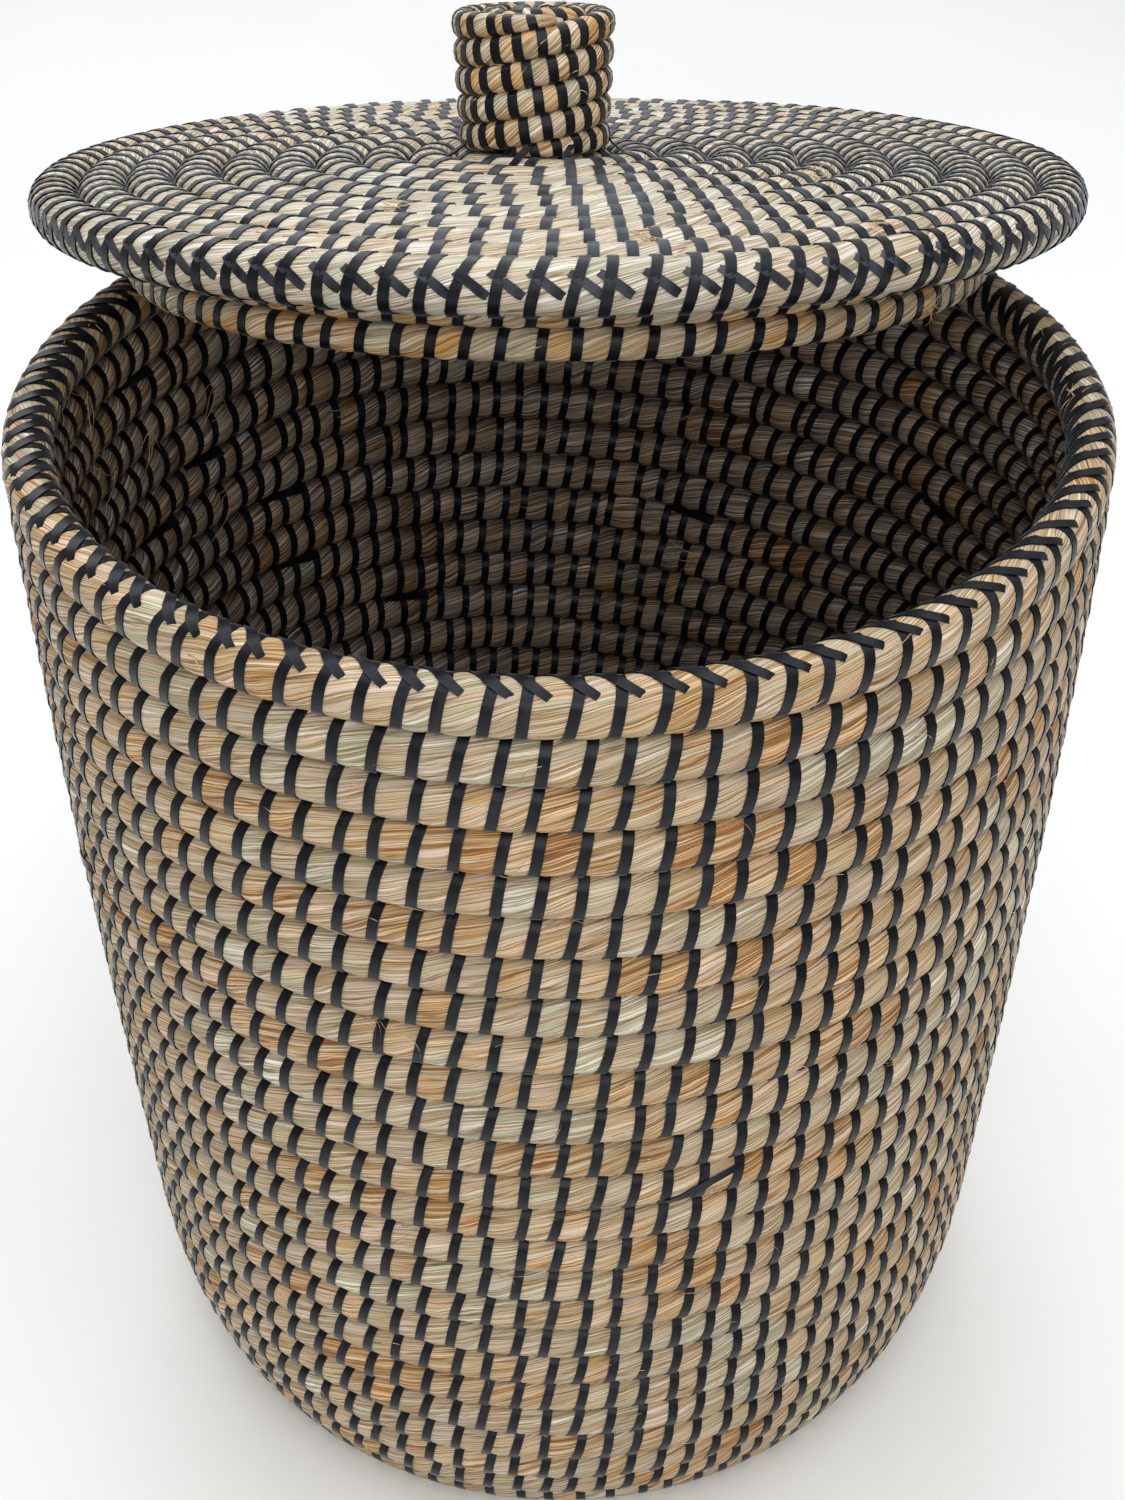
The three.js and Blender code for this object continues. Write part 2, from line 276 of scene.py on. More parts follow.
@dataclass(frozen=True)
class GrassFinish:
    """Dry grass laid in a twisted bundle: blades of several straw tones, fine fibres and dark gaps.

    The pattern follows the fibre map and the tone layer, which holds a hue, a light and a shift for
    each stretch between two stitches. Where painted shade has taken the light below 0, the grass is
    drawn darker, bluer and with more contrast. Each part's shade sets its brightness and pale mixes in a
    pale tone: partly the grass's own tone and partly painted light, such as the lid drawn paler for the
    light from above. Densities are features per metre along and across the blades.
    """

    name: str
    twist: float = WALL_TWIST
    gold: float = 0.5
    pale: float = 0.0
    shade: float = 1.0
    sway_density: Triple = (45.0, 110.0, 1.0)
    blade_density: Triple = (9.0, 420.0, 1.0)
    fibre_density: Triple = (18.0, 1500.0, 1.0)
    patch_density: Triple = (9.0, 60.0, 1.0)
    strand_density: Triple = (26.0, 900.0, 1.0)
    sway: float = 0.25 * MM
    splay: float = 0.13
    blade_hue: Range = (0.16, 0.48)
    strand_hue: float = 0.24
    stretch_hue: float = 0.36
    fibre_hue: float = 0.1
    gold_patch: Range = (0.5, 0.72)
    fibre_middle: Range = (0.35, 0.65)
    fibre_light: Range = (0.62, 1.29)
    strand_light: Range = (0.86, 1.12)
    stretch_light: Range = (0.86, 1.1)
    # Painted shade, where the tone layer's light is below 0: more fibre contrast, more blue, dimmer grass.
    shaded_contrast: float = 3.0
    shaded_blue: float = 1.14
    deepest_painted_shade: float = 0.1
    contrast_from: float = -1.2
    blue_from: float = -1.0
    painted_shade_from: float = -2.4
    gap_width: Range = (0.02, 0.15)
    gap_dark: float = 0.75
    parted: Range = (0.38, 0.6)
    closed: float = 0.25
    roughness: Range = (0.66, 0.46)
    blade_relief: float = 1.2
    fibre_relief: float = 0.6
    relief_depth: float = 0.9 * MM
    gold_tone: Triple = (212, 160, 92)
    pale_tone: Triple = (229, 227, 214)
    gap_tone: Triple = (90, 62, 38)
    tones: Scale = (
        (0.04, (172, 116, 62)),
        (0.20, (210, 168, 114)),
        (0.38, (211, 191, 158)),
        (0.54, (208, 183, 159)),
        (0.70, (188, 185, 152)),
        (0.88, (229, 220, 199)),
    )

    def material(self) -> Material:
        """Makes the grass.

        Returns:
            The material.
        """
        bench = NodeBench(self.name)
        hue, light, shift = bench.tone()
        laid = self._laid(bench, shift)
        blades = bench.noise(laid, self.blade_density, detail=2.0)
        fibres = bench.noise(laid, self.fibre_density, detail=1.0, roughness=0.6)
        patches = bench.noise(laid, self.patch_density, detail=1.0)
        strand, glow, seam = bench.strands(laid, self.strand_density)

        mixed = bench.plus(bench.spread(blades, *self.blade_hue), bench.times(strand, self.strand_hue))
        tinted = bench.plus(mixed, bench.band(hue, 0.0, 1.0, -self.stretch_hue, self.stretch_hue))
        frayed = bench.plus(tinted, bench.spread(fibres, -self.fibre_hue, self.fibre_hue))
        golden = bench.times(bench.band(patches, *self.gold_patch, 0.0, 1.0), self.gold)
        warm = bench.mix(golden, bench.ramp(frayed, self.tones), linear(self.gold_tone))
        # The pale tone is partly paler straw and partly painted light from above; only the lid mixes it in.
        pale_and_lit = bench.mix(self.pale, warm, linear(self.pale_tone))

        fibrous = bench.mix(1.0, pale_and_lit, self._lit(bench, fibres, glow, light), "MULTIPLY")
        parted = bench.band(blades, *self.parted, 1.0, self.closed)
        gaps = bench.times(bench.band(seam, *self.gap_width, self.gap_dark, 0.0), parted)
        raised = bench.plus(bench.times(blades, self.blade_relief), bench.times(fibres, self.fibre_relief))
        return bench.finish(
            Base_Color=bench.mix(gaps, fibrous, linear(self.gap_tone)),
            Roughness=bench.spread(fibres, *self.roughness),
            Normal=bench.relief(raised, strength=0.9, depth=self.relief_depth),
            Specular_IOR_Level=0.35,
        )

    def _laid(self, bench: NodeBench, shift: Socket) -> Socket:
        """Coordinates along and across the blades, which sway and splay a little."""
        place = bench.fibre_place()
        turn = -math.radians(self.twist)
        sways = bench.noise(place, self.sway_density, detail=1.0)
        swaying = bench.spread(sways, -self.sway, self.sway)
        splayed = bench.band(shift, 0.0, TONE_SHIFT, turn - self.splay, turn + self.splay)
        return bench.turned(bench.moved(place, shift, swaying), splayed)

    def _lit(self, bench: NodeBench, fibres: Socket, glow: Socket, light: Socket) -> Socket:
        """How bright the grass is in each colour: fibre by fibre, and deeper where painted shade takes the
        light below 0.
        """
        by_fibre = bench.band(fibres, *self.fibre_middle, *self.fibre_light)
        streaks = bench.times(by_fibre, bench.band(glow, 0.0, 1.0, *self.strand_light))
        # Painted shade: below 0, the tone layer's light raises the fibres' contrast, dims the grass and
        # raises its blue.
        contrast = bench.band(light, self.contrast_from, 0.0, self.shaded_contrast, 1.0)
        # The part's shade sets the grass's brightness: partly its own tone and partly painted light.
        even = bench.band(light, 0.0, 1.0, *(self.shade * end for end in self.stretch_light))
        painted_dimming = bench.band(light, self.painted_shade_from, 0.0, self.deepest_painted_shade, 1.0)
        lit = bench.times(bench.math("POWER", streaks, contrast), bench.times(even, painted_dimming))
        inner = bench.band(light, self.blue_from, 0.0, self.shaded_blue, 1.0)
        half_streaks = bench.math("POWER", streaks, 0.5)
        blue = bench.times(lit, bench.times(half_streaks, inner))
        return bench.add("CombineXYZ", X=lit, Y=lit, Z=blue).outputs[0]


@dataclass(frozen=True)
class StripFinish:
    """Flat black plastic strip with a satin face, fine lines along it, and grey-blue patches that are partly
    dust and partly painted sheen.
    """

    name: str
    dust_and_sheen: float = 0.0
    line_density: Triple = (2200.0, 60.0, 1.0)
    wear_and_sheen_density: Triple = (90.0, 70.0, 1.0)
    line_depth: float = 0.15 * MM
    tones: Scale = ((0.3, (8, 9, 13)), (0.7, (15, 17, 23)))
    dust_and_sheen_tone: Triple = (72, 76, 84)
    dust_and_sheen_patch: Range = (0.52, 0.75)
    dust_and_sheen_reach: float = 0.4
    dust_and_sheen_cover: Range = (0.2, 1.4)
    roughness: Range = (0.31, 0.44)
    sheen: float = 0.24

    def material(self) -> Material:
        """Makes the strip, whose sheen fades where the tone layer's light is below 0, under painted shade.

        Returns:
            The material.
        """
        bench = NodeBench(self.name)
        place = bench.fibre_place()
        light = bench.tone()[1]
        lines = bench.noise(place, self.line_density, detail=2.0)
        wear_and_sheen = bench.noise(place, self.wear_and_sheen_density, detail=3.0)
        # The dust tone stands partly for dust and partly for painted sky sheen, strongest on the lid's
        # strips.
        edge = self.dust_and_sheen_patch[0] - self.dust_and_sheen_reach * self.dust_and_sheen
        cover = self.dust_and_sheen_cover[0] + self.dust_and_sheen_cover[1] * self.dust_and_sheen
        dust_and_sheen_patch = bench.band(wear_and_sheen, edge, self.dust_and_sheen_patch[1], 0.0, cover)
        return bench.finish(
            Base_Color=bench.mix(dust_and_sheen_patch, bench.ramp(lines, self.tones), linear(self.dust_and_sheen_tone)),
            Roughness=bench.spread(wear_and_sheen, *self.roughness),
            Normal=bench.relief(lines, strength=0.35, depth=self.line_depth),
            Specular_IOR_Level=0.23,
            Specular_Tint=(0.88, 0.94, 1.0, 1.0),
            Sheen_Weight=bench.band(light, -1.0, 0.0, 0.0, self.sheen),
            Sheen_Roughness=0.3,
            Sheen_Tint=(0.8, 0.9, 1.0, 1.0),
        )


@dataclass(frozen=True)
class StrawFinish:
    """Loose straw ends, paler than the bundles that they stick out of."""

    name: str = "loose_straw"
    density: Triple = (160.0, 160.0, 160.0)
    depth: float = 0.1 * MM
    tones: Scale = ((0.3, (176, 128, 84)), (0.5, (214, 186, 140)), (0.7, (232, 214, 176)))

    def material(self) -> Material:
        """Makes the straw.

        Returns:
            The material.
        """
        bench = NodeBench(self.name)
        streaks = bench.noise(bench.object_place(), self.density, detail=2.0, dimensions="3D")
        return bench.finish(
            Base_Color=bench.ramp(streaks, self.tones),
            Normal=bench.relief(streaks, strength=0.3, depth=self.depth),
            Roughness=0.6,
        )


@dataclass(frozen=True)
class FloorFinish:
    """Plain pale studio floor with a faint mottle."""

    name: str = "pale_floor"
    density: Triple = (2.0, 2.0, 2.0)
    tones: Scale = ((0.3, (244, 244, 243)), (0.7, (248, 248, 247)))

    def material(self) -> Material:
        """Makes the floor.

        Returns:
            The material.
        """
        bench = NodeBench(self.name)
        mottle = bench.noise(bench.object_place(), self.density, detail=3.0)
        return bench.finish(Base_Color=bench.ramp(mottle, self.tones), Roughness=0.8)


@dataclass(frozen=True)
class Finishes:
    """The materials of the whole object."""

    base: Material
    wall: Material
    lid: Material
    ring: Material
    knob: Material
    strip: Material
    lid_strip: Material
    straw: Material

    @classmethod
    def make(cls) -> "Finishes":
        """Makes every material once."""
        return cls(
            # Each part's shade is partly its own tone and partly painted light; the lid's pale is partly
            # painted light from above.
            base=GrassFinish("base_grass", LID_TWIST, shade=0.85).material(),
            wall=GrassFinish("wall_grass", gold=0.3, shade=0.915).material(),
            lid=GrassFinish("lid_grass", LID_TWIST, gold=0.35, pale=0.45, shade=0.92).material(),
            ring=GrassFinish("ring_grass", LID_TWIST, gold=1.0, shade=1.03).material(),
            knob=GrassFinish("knob_grass", KNOB_TWIST, gold=0.75, shade=1.06).material(),
            strip=StripFinish("black_strip").material(),
            # The lid's strips get more of the dust tone, partly dust and partly painted sky sheen.
            lid_strip=StripFinish("lid_strip", dust_and_sheen=0.5).material(),
            straw=StrawFinish().material(),
        )


# Winding


@dataclass(frozen=True)
class CoilPath:
    """How a coil winds round Z: level courses along a profile, each with a climb to the next one.

    The profile is a list of radius and height points. Course numbers count along it from start, in
    steps of pitch. The section stays between the two course numbers in ends, so the coil's tips thin
    out there. A climb takes up share of a loop, before the seam, and a tip takes up tail_share of it.
    """

    profile: Array
    face: int
    pitch: float
    thickness: float
    ends: Range
    start: float = 0.0
    share: float = 0.25
    tail_share: float = 0.6
    seam: float = math.radians(135)
    shift: float = 0.0
    lift: float = 0.0
    thinnest: float = 0.02

    @property
    def tail(self) -> float:
        """Part of a loop that a tip takes up."""
        return self.share * self.tail_share

    def end(self, course: float) -> float:
        """The turn where a coil ends that has a course as its last full one."""
        return course + 1 - self.share + self.tail

    def course(self, turn: Array) -> Array:
        """Course number at a turn."""
        loop = np.floor(turn)
        return loop + smoothstep((turn - loop - (1.0 - self.share)) / self.share)

    def _measured(self) -> tuple[Array, Array]:
        """Lengths along the profile, and the way out at each of its points."""
        steps = np.diff(self.profile, axis=0)
        lengths = np.concatenate([[0.0], np.cumsum(np.linalg.norm(steps, axis=1))])
        tangent = np.gradient(self.profile, lengths, axis=0)
        tangent /= np.linalg.norm(tangent, axis=1)[:, None]
        return lengths, self.face * np.stack([tangent[:, 1], -tangent[:, 0]], axis=1)

    def radius(self, turn: Array) -> Array:
        """Radius of the coil's middle at a turn."""
        lengths, _ = self._measured()
        return np.interp(self.start + self.course(turn) * self.pitch, lengths, self.profile[:, 0])

    def place(self, turn: Array, across: Array, along: Array) -> Array:
        """Puts points of a section on the wound coil.

        Args:
            turn: loops from the seam.
            across: way out of the surface, 1 at half a thickness.
            along: way to the next course, 1 at half a pitch.

        Returns:
            Points in the frame of the coil's axis, one row each.
        """
        lengths, out = self._measured()
        course = self.course(turn)
        low = np.maximum(course - 0.5, self.ends[0])
        high = np.minimum(course + 0.5, self.ends[1])
        fullness = np.clip(high - low, self.thinnest, 1.0)
        length = self.start + (low + high + along * fullness) / 2 * self.pitch
        half = self.thickness / 2 * np.sqrt(fullness) * across
        radius, height = (
            np.interp(length, lengths, self.profile[:, axis])
            + np.interp(length, lengths, out[:, axis]) * half
            for axis in (0, 1)
        )
        angle = self.seam + turn * FULL_TURN
        x = radius * np.cos(angle) + self.shift
        y = radius * np.sin(angle)
        return np.stack([x, y, height + self.lift], axis=1)


@dataclass
class Sewing:
    """Where the stitches of a coil lie, and how each one leans and wanders.

    Stitches keep their spacing along the coil, or have a given number in each loop. The columns
    that they form line up where meet says, which is at the front. Crowding draws them closer
    together in the direction that crowded gives, and apart on the other side. A stitch leans about
    the angle round the section that upright gives, and inner_lean, where it isn't 0, is its further
    lean on the way down behind the coil, as a share of the lean on its face.
    """

    path: CoilPath
    first: float
    last: float
    spacing: float
    lean: float
    seed: int
    per_loop: int = 0
    upright: float = 0.0
    meet: float = 0.375
    drift: float = -0.06
    crowding: float = 0.0
    crowded: float = math.radians(110)
    inner_lean: float = 0.0
    fewest: int = 5
    wander: float = 0.05
    slow_wander: float = 0.05
    slow_step: int = 9
    slip: float = 0.12
    slip_share: float = 0.03
    lean_spread: float = 0.2
    swell: float = 0.018
    patch_step: int = 5
    patch_hue: float = 0.55
    patch_light: float = 0.35
    knot_turns: Array = field(init=False)
    knot_counts: Array = field(init=False)
    count: int = field(init=False)
    offsets: Array = field(init=False)
    leans: Array = field(init=False)
    swells: Array = field(init=False)
    tones: Array = field(init=False)

    def __post_init__(self) -> None:
        """Counts the stitches and draws each one's own irregularities."""
        self._count()
        self._draw()

    def _count(self) -> None:
        """Finds how many stitches there are up to each of many turns."""
        inner = np.arange(math.ceil(self.first - self.meet), math.floor(self.last - self.meet) + 1)
        turns = np.unique(np.concatenate([[self.first], inner + self.meet, [self.last]]))
        middles = (turns[1:] + turns[:-1]) / 2
        by_length = np.round(self.path.radius(middles) * FULL_TURN / self.spacing)
        per_loop = (self.per_loop or np.maximum(self.fewest, by_length)) + self.drift
        counts = np.concatenate([[0.0], np.cumsum(per_loop * np.diff(turns))])
        fine = np.unique(np.concatenate([turns, np.arange(self.first, self.last, 1 / KNOTS_PER_LOOP)]))
        ahead = np.sin(FULL_TURN * fine + self.path.seam - self.crowded)
        ahead = self.crowding * self.per_loop / FULL_TURN * (ahead - ahead[0])
        counts[-1] = round(counts[-1] + ahead[-1]) - ahead[-1]
        self.knot_turns, self.knot_counts = fine, np.interp(fine, turns, counts) + ahead
        self.count = round(float(self.knot_counts[-1]))

    def _draw(self) -> None:
        """Draws each stitch's place, lean and swell, and the tones of the stretch after it."""
        rng = np.random.default_rng(self.seed)
        size = self.count + 2
        slow = self._slowly(rng.normal, size, self.slow_step)
        slips = np.where(rng.random(size) < self.slip_share, rng.normal(0, self.slip, size), 0.0)
        self.offsets = self.wander * rng.normal(0, 1, size) + self.slow_wander * slow + slips
        self.leans = self.lean * (1 + self.lean_spread * rng.normal(0, 1, size))
        self.swells = self.swell * rng.normal(0, 1, size)
        patch = self._slowly(rng.random, size, self.patch_step)
        hue = self.patch_hue * patch + (1 - self.patch_hue) * rng.random(size)
        light = self.patch_light * patch[::-1] + (1 - self.patch_light) * rng.random(size)
        self.tones = np.stack([hue, light, rng.random(size) * TONE_SHIFT], axis=1)

    @staticmethod
    def _slowly(draw: Callable[..., Array], size: int, step: int) -> Array:
        """A number for each stitch, drawn at every few stitches and eased from one to the next."""
        knots = np.arange(0, size + step, step)
        return np.interp(np.arange(size), knots, draw(size=len(knots)))

    def number_at(self, loop: int, azimuth: float) -> int:
        """The stitch nearest to a direction, in degrees, on a loop."""
        turn = loop + (math.radians(azimuth) - self.path.seam) % FULL_TURN / FULL_TURN
        number = round(float(np.interp(turn, self.knot_turns, self.knot_counts)))
        return int(np.clip(number, 0, self.count - 1))

    def turn(self, number: Array, angle: Array, slide: Array | float = 0.0) -> Array:
        """Turn of the coil at a stitch number, with that stitch's own place and lean.

        Args:
            number: stitches from the start, whole at a stitch.
            angle: angle round the section, 0 on the face and a quarter turn towards the next course.
            slide: metres further along the coil.

        Returns:
            Turns from the seam.
        """
        steps = np.arange(len(self.offsets))
        moved = number + np.interp(number, steps, self.offsets)
        turn = np.interp(moved, self.knot_counts, self.knot_turns)
        sine = np.sin(angle - self.upright)
        inner = 1 + self.inner_lean * (1 - sine) if self.inner_lean else sine * np.abs(sine) ** 3
        tilt = np.where(np.cos(angle - self.upright) > 0, sine, inner)
        length = np.interp(number, steps, self.leans) * tilt / 2 + slide
        return np.clip(turn + length / (FULL_TURN * self.path.radius(turn)), self.first, self.last)


# Meshes


def new_piece(name: str, primitive: Callable[..., object], **settings: object) -> Piece:
    """Adds a primitive, names it and applies its rotation.

    Args:
        name: the piece's name.
        primitive: the operator that adds it.
        settings: what the operator is told.

    Returns:
        The piece, which is then the active object.
    """
    bpy.ops.object.select_all(action="DESELECT")
    primitive(**settings)
    piece = bpy.context.object
    piece.name = piece.data.name = name
    bpy.ops.object.transform_apply(location=False, rotation=True, scale=False)
    return piece


@contextmanager
def editing() -> Iterator[None]:
    """Opens the active object's mesh with all of it selected, and closes it afterwards."""
    bpy.ops.object.mode_set(mode="EDIT")
    bpy.ops.mesh.select_all(action="SELECT")
    yield
    bpy.ops.object.mode_set(mode="OBJECT")


def apply_modifier(piece: Piece, kind: str, **settings: object) -> None:
    """Adds a modifier to a piece and applies it."""
    modifier = piece.modifiers.new(kind.lower(), kind)
    for name, value in settings.items():
        setattr(modifier, name, value)
    bpy.ops.object.modifier_apply(modifier=modifier.name)


def repeat(piece: Piece, count: int, step: float, merge: bool) -> None:
    """Repeats a piece along X.

    Args:
        piece: the piece, which is the active object.
        count: how many copies there are in all.
        step: distance between copies.
        merge: whether copies that meet are joined.
    """
    apply_modifier(
        piece,
        "ARRAY",
        count=count,
        use_relative_offset=False,
        use_constant_offset=True,
        constant_offset_displace=(step, 0.0, 0.0),
        use_merge_vertices=merge,
        merge_threshold=MERGE_DISTANCE,
    )


def extrude_along_x(step: float) -> None:
    """Draws what is selected out along X."""
    bpy.ops.mesh.extrude_region_move(TRANSFORM_OT_translate={"value": (step, 0.0, 0.0)})


def flat_strips(name: str, count: int, width: float, thickness: float, steps: int) -> Piece:
    """Makes flat strips, one at each whole number along X.

    Args:
        name: the piece's name.
        count: how many strips there are.
        width: their width, along X.
        thickness: their thickness, along Z.
        steps: faces along their length, which is 1 along Y.

    Returns:
        The strips.
    """
    grid = bpy.ops.mesh.primitive_grid_add
    piece = new_piece(name, grid, x_subdivisions=1, y_subdivisions=steps, size=1.0)
    with editing():
        bpy.ops.transform.resize(value=(width, 1.0, 1.0))
    apply_modifier(piece, "SOLIDIFY", thickness=thickness, offset=1.0)
    repeat(piece, count, 1.0, merge=False)
    return piece


def points_of(piece: Piece) -> Array:
    """A mesh's points, one row each."""
    flat = np.empty(len(piece.data.vertices) * 3)
    piece.data.vertices.foreach_get("co", flat)
    return flat.reshape(-1, 3)


def move_points(piece: Piece, points: Array) -> None:
    """Puts a mesh's points in new places and turns its faces outwards."""
    piece.data.vertices.foreach_set("co", points.astype(np.float32).ravel())
    piece.data.update()
    with editing():
        bpy.ops.mesh.normals_make_consistent(inside=False)


def corners_of(mesh: bpy.types.Mesh) -> tuple[Array, Array, Array]:
    """Where each face's corners start, how many it has, and the point at each corner."""
    starts = np.empty(len(mesh.polygons), dtype=np.int32)
    totals = np.empty_like(starts)
    corners = np.empty(len(mesh.loops), dtype=np.int32)
    mesh.polygons.foreach_get("loop_start", starts)
    mesh.polygons.foreach_get("loop_total", totals)
    mesh.loops.foreach_get("vertex_index", corners)
    return starts, totals, corners


def map_fibres(piece: Piece, along: Array, around: Array, girth: float) -> None:
    """Writes the fibre map: metres along the coil, and metres round it.

    Args:
        piece: a mesh.
        along: metres along for each point.
        around: angle round the section for each point.
        girth: length once round the section.
    """
    starts, totals, corners = corners_of(piece.data)
    first = np.repeat(around[corners[starts]], totals)
    turned = first + (around[corners] - first + math.pi) % FULL_TURN - math.pi
    flat = np.stack([along[corners], turned / FULL_TURN * girth], axis=1)
    layer = piece.data.uv_layers.new(name=FIBRE_MAP)
    layer.data.foreach_set("uv", flat.astype(np.float32).ravel())


def tone_corners(piece: Piece, numbers: Array, dark: Array, tones: Array, warmth: float = 0.05) -> None:
    """Writes the tone layer: a set of numbers for each stretch between stitches, with painted shade in
    places.

    Args:
        piece: a mesh.
        numbers: stitch number of each point.
        dark: how much painted shade each point has, taken off its light.
        tones: numbers for each stretch between stitches.
        warmth: how far the hue shifts with the painted shade.
    """
    starts, totals, corners = corners_of(piece.data)
    middles = np.add.reduceat(numbers[corners], starts) / totals
    chosen = tones[np.clip(np.floor(middles).astype(int), 0, len(tones) - 1)]
    toned = np.repeat(chosen, totals, axis=0)
    toned[:, 0] += warmth * dark[corners]
    toned[:, 1] -= dark[corners]
    layer = piece.data.attributes.new(TONE_LAYER, "FLOAT_VECTOR", "CORNER")
    layer.data.foreach_set("vector", toned.astype(np.float32).ravel())


@dataclass(frozen=True)
class Ridges:
    """Ridges that blades of grass raise round a bundle, and how they sway along it."""

    blades: int
    height: float
    phase: float
    sway: float
    rate: float

    def wave(self, lay: Array, number: Array) -> Array:
        """Height of the ridges at an angle that follows the blades, and at a stitch number."""
        return self.height * np.sin(self.blades * lay + self.phase + self.sway * np.sin(self.rate * number))


@dataclass
class CoilWork:
    """One coil of grass and its stitches, modelled straight and then wound along its path.

    Rings are the steps of the bundle between two stitches, as shares of their spacing. A stitch
    holds the bundle over held of the spacing to each side, and the bundle fills out over eased.
    """

    sewing: Sewing
    sides: int = 24
    rings: tuple[float, ...] = (0.15, 0.12, 0.23, 0.23, 0.12, 0.15)
    roundness: float = 2.6
    inner_roundness: float = 2.1
    pinch: float = 0.055
    inner_pinch: float = 0.0
    held: float = 0.15
    eased: float = 0.2
    overfill: float = 1.05
    strip_width: float = 4.1 * MM
    strip_thickness: float = 0.6 * MM
    strip_sides: int = 14
    ridge: float = 0.026
    ridges: tuple[Ridges, ...] = (Ridges(7, 1.0, 0.0, 0.9, 0.61), Ridges(10, 0.7, 2.0, 0.8, 0.37))
    held_ridge: float = 0.2
    twist: float = WALL_TWIST
    # Painted shade in the tone layer: behind the coil, which is the inside of the basket, and on the flanks
    # near the grooves before and after each course.
    inner_shade: float = 0.0
    inner_shade_strength: float = 1.1
    valley_shade: Range = (0.5, 0.0)
    valley_edge: float = 0.7
    inner_valley: float = 0.2

    @property
    def radius(self) -> float:
        """Half the coil's thickness."""
        return self.sewing.path.thickness / 2

    @property
    def girth(self) -> float:
        """Length once round the coil."""
        return FULL_TURN * self.radius

    def section(self, angle: Array) -> tuple[Array, Array]:
        """The coil's rounded section, which is a little flatter on its face.

        Args:
            angle: angle round the section.

        Returns:
            How far the surface lies across the coil, and along to the next course.
        """
        cosine, sine = np.cos(angle), np.sin(angle)
        power = 2 / np.where(cosine > 0, self.roundness, self.inner_roundness)
        return np.sign(cosine) * np.abs(cosine) ** power, np.sign(sine) * np.abs(sine) ** power

    def wound(self, turn: Array, angle: Array, size: Array) -> Array:
        """Points on the wound coil at an angle round it and at a size of its section."""
        across, along = self.section(angle)
        return self.sewing.path.place(turn, across * size, along * size * self.overfill)

    def pinched(self, angle: Array) -> Array:
        """How far a stitch draws the bundle in, which may be further behind the coil."""
        return self.pinch + self.inner_pinch * behind(angle, sharpness=2.0)

    def shaded(self, angle: Array) -> Array:
        """How much painted shade there is behind the coil."""
        return self.inner_shade * behind(angle, sharpness=1.5, reach=0.5)

    def grass(self, name: str, first: int, last: int) -> Piece:
        """Makes the bundle between two stitches.

        Args:
            name: the piece's name.
            first: stitch number where it starts.
            last: stitch number where it ends.

        Returns:
            The wound bundle.
        """
        spacing = self.sewing.spacing
        circle = bpy.ops.mesh.primitive_circle_add
        piece = new_piece(name, circle, vertices=self.sides, radius=self.radius, rotation=ACROSS_X)
        with editing():
            for share in self.rings:
                extrude_along_x(share * spacing)
        repeat(piece, last - first, spacing, merge=True)
        with editing():
            bpy.ops.mesh.fill_holes(sides=0)

        straight = points_of(piece)
        number = first + straight[:, 0] / spacing
        angle = np.arctan2(straight[:, 2], straight[:, 1])
        move_points(piece, self._bundle(number, angle))
        map_fibres(piece, number * spacing, (angle + math.pi / 2) % FULL_TURN, self.girth)
        tone_corners(piece, number, self._painted_shade_at(angle), self.sewing.tones)
        bpy.ops.object.shade_smooth()
        return piece

    def _painted_shade_at(self, angle: Array) -> Array:
        """How much painted shade the bundle gets, behind the coil and on its flanks near the grooves between
        courses.
        """
        inside = behind(angle, sharpness=3.0)
        edge = self.valley_edge - self.inner_valley * inside
        valley = smoothstep((np.abs(np.sin(angle)) - edge) / (1 - edge))
        before_and_after = np.where(np.sin(angle) < 0, *self.valley_shade)
        return self.inner_shade_strength * self.shaded(angle) + valley * (before_and_after + self.inner_shade * inside)

    def _bundle(self, number: Array, angle: Array) -> Array:
        """Points of the bundle's surface: pinched at stitches, full between them, ridged by blades."""
        near = np.abs(number - np.round(number))
        held = 1.0 - smoothstep((near - self.held) / self.eased)
        swells = self.sewing.swells
        swell = swells[np.clip(np.floor(number).astype(int), 0, len(swells) - 1)] * (1.0 - held)
        lay = angle - number * self.sewing.spacing * math.tan(math.radians(self.twist)) / self.radius
        wave = sum(ridges.wave(lay, number) for ridges in self.ridges)
        drawn = self.pinched(angle) * held
        size = 1.0 - drawn + swell + self.ridge * wave * (1.0 - (1.0 - self.held_ridge) * held)
        across, along = self.section(angle)
        turn = self.sewing.turn(number, angle)
        return self.sewing.path.place(turn, across * size, along * self.overfill * (1.0 - drawn))

    def stitches(self, name: str, first: int, last: int) -> Piece:
        """Makes the strip's stitches from one number to another, as hoops round the bundle.

        Args:
            name: the piece's name.
            first: number of the first stitch.
            last: number after the last stitch.

        Returns:
            The wound hoops.
        """
        spacing = self.sewing.spacing
        piece = new_piece(
            name,
            bpy.ops.mesh.primitive_cylinder_add,
            vertices=self.strip_sides,
            radius=self.radius,
            depth=self.strip_width,
            end_fill_type="NOTHING",
            rotation=ACROSS_X,
        )
        apply_modifier(piece, "SOLIDIFY", thickness=self.strip_thickness, offset=1.0)
        repeat(piece, last - first, spacing, merge=False)

        straight = points_of(piece)
        order = np.round(straight[:, 0] / spacing)
        slide = straight[:, 0] - order * spacing
        number = order + first
        angle = np.arctan2(straight[:, 2], straight[:, 1])
        size = np.hypot(straight[:, 1], straight[:, 2]) / self.radius * (1.0 - self.pinched(angle))
        move_points(piece, self.wound(self.sewing.turn(number, angle, slide), angle, size))
        map_fibres(piece, slide + number * STRIP_STEP, angle, self.girth)
        # The strips get the painted shade behind the coil, which takes their sheen away there.
        tone_corners(piece, number, self.shaded(angle), PLAIN_TONE)
        bpy.ops.object.shade_smooth_by_angle(angle=SMOOTH_ANGLE)
        return piece


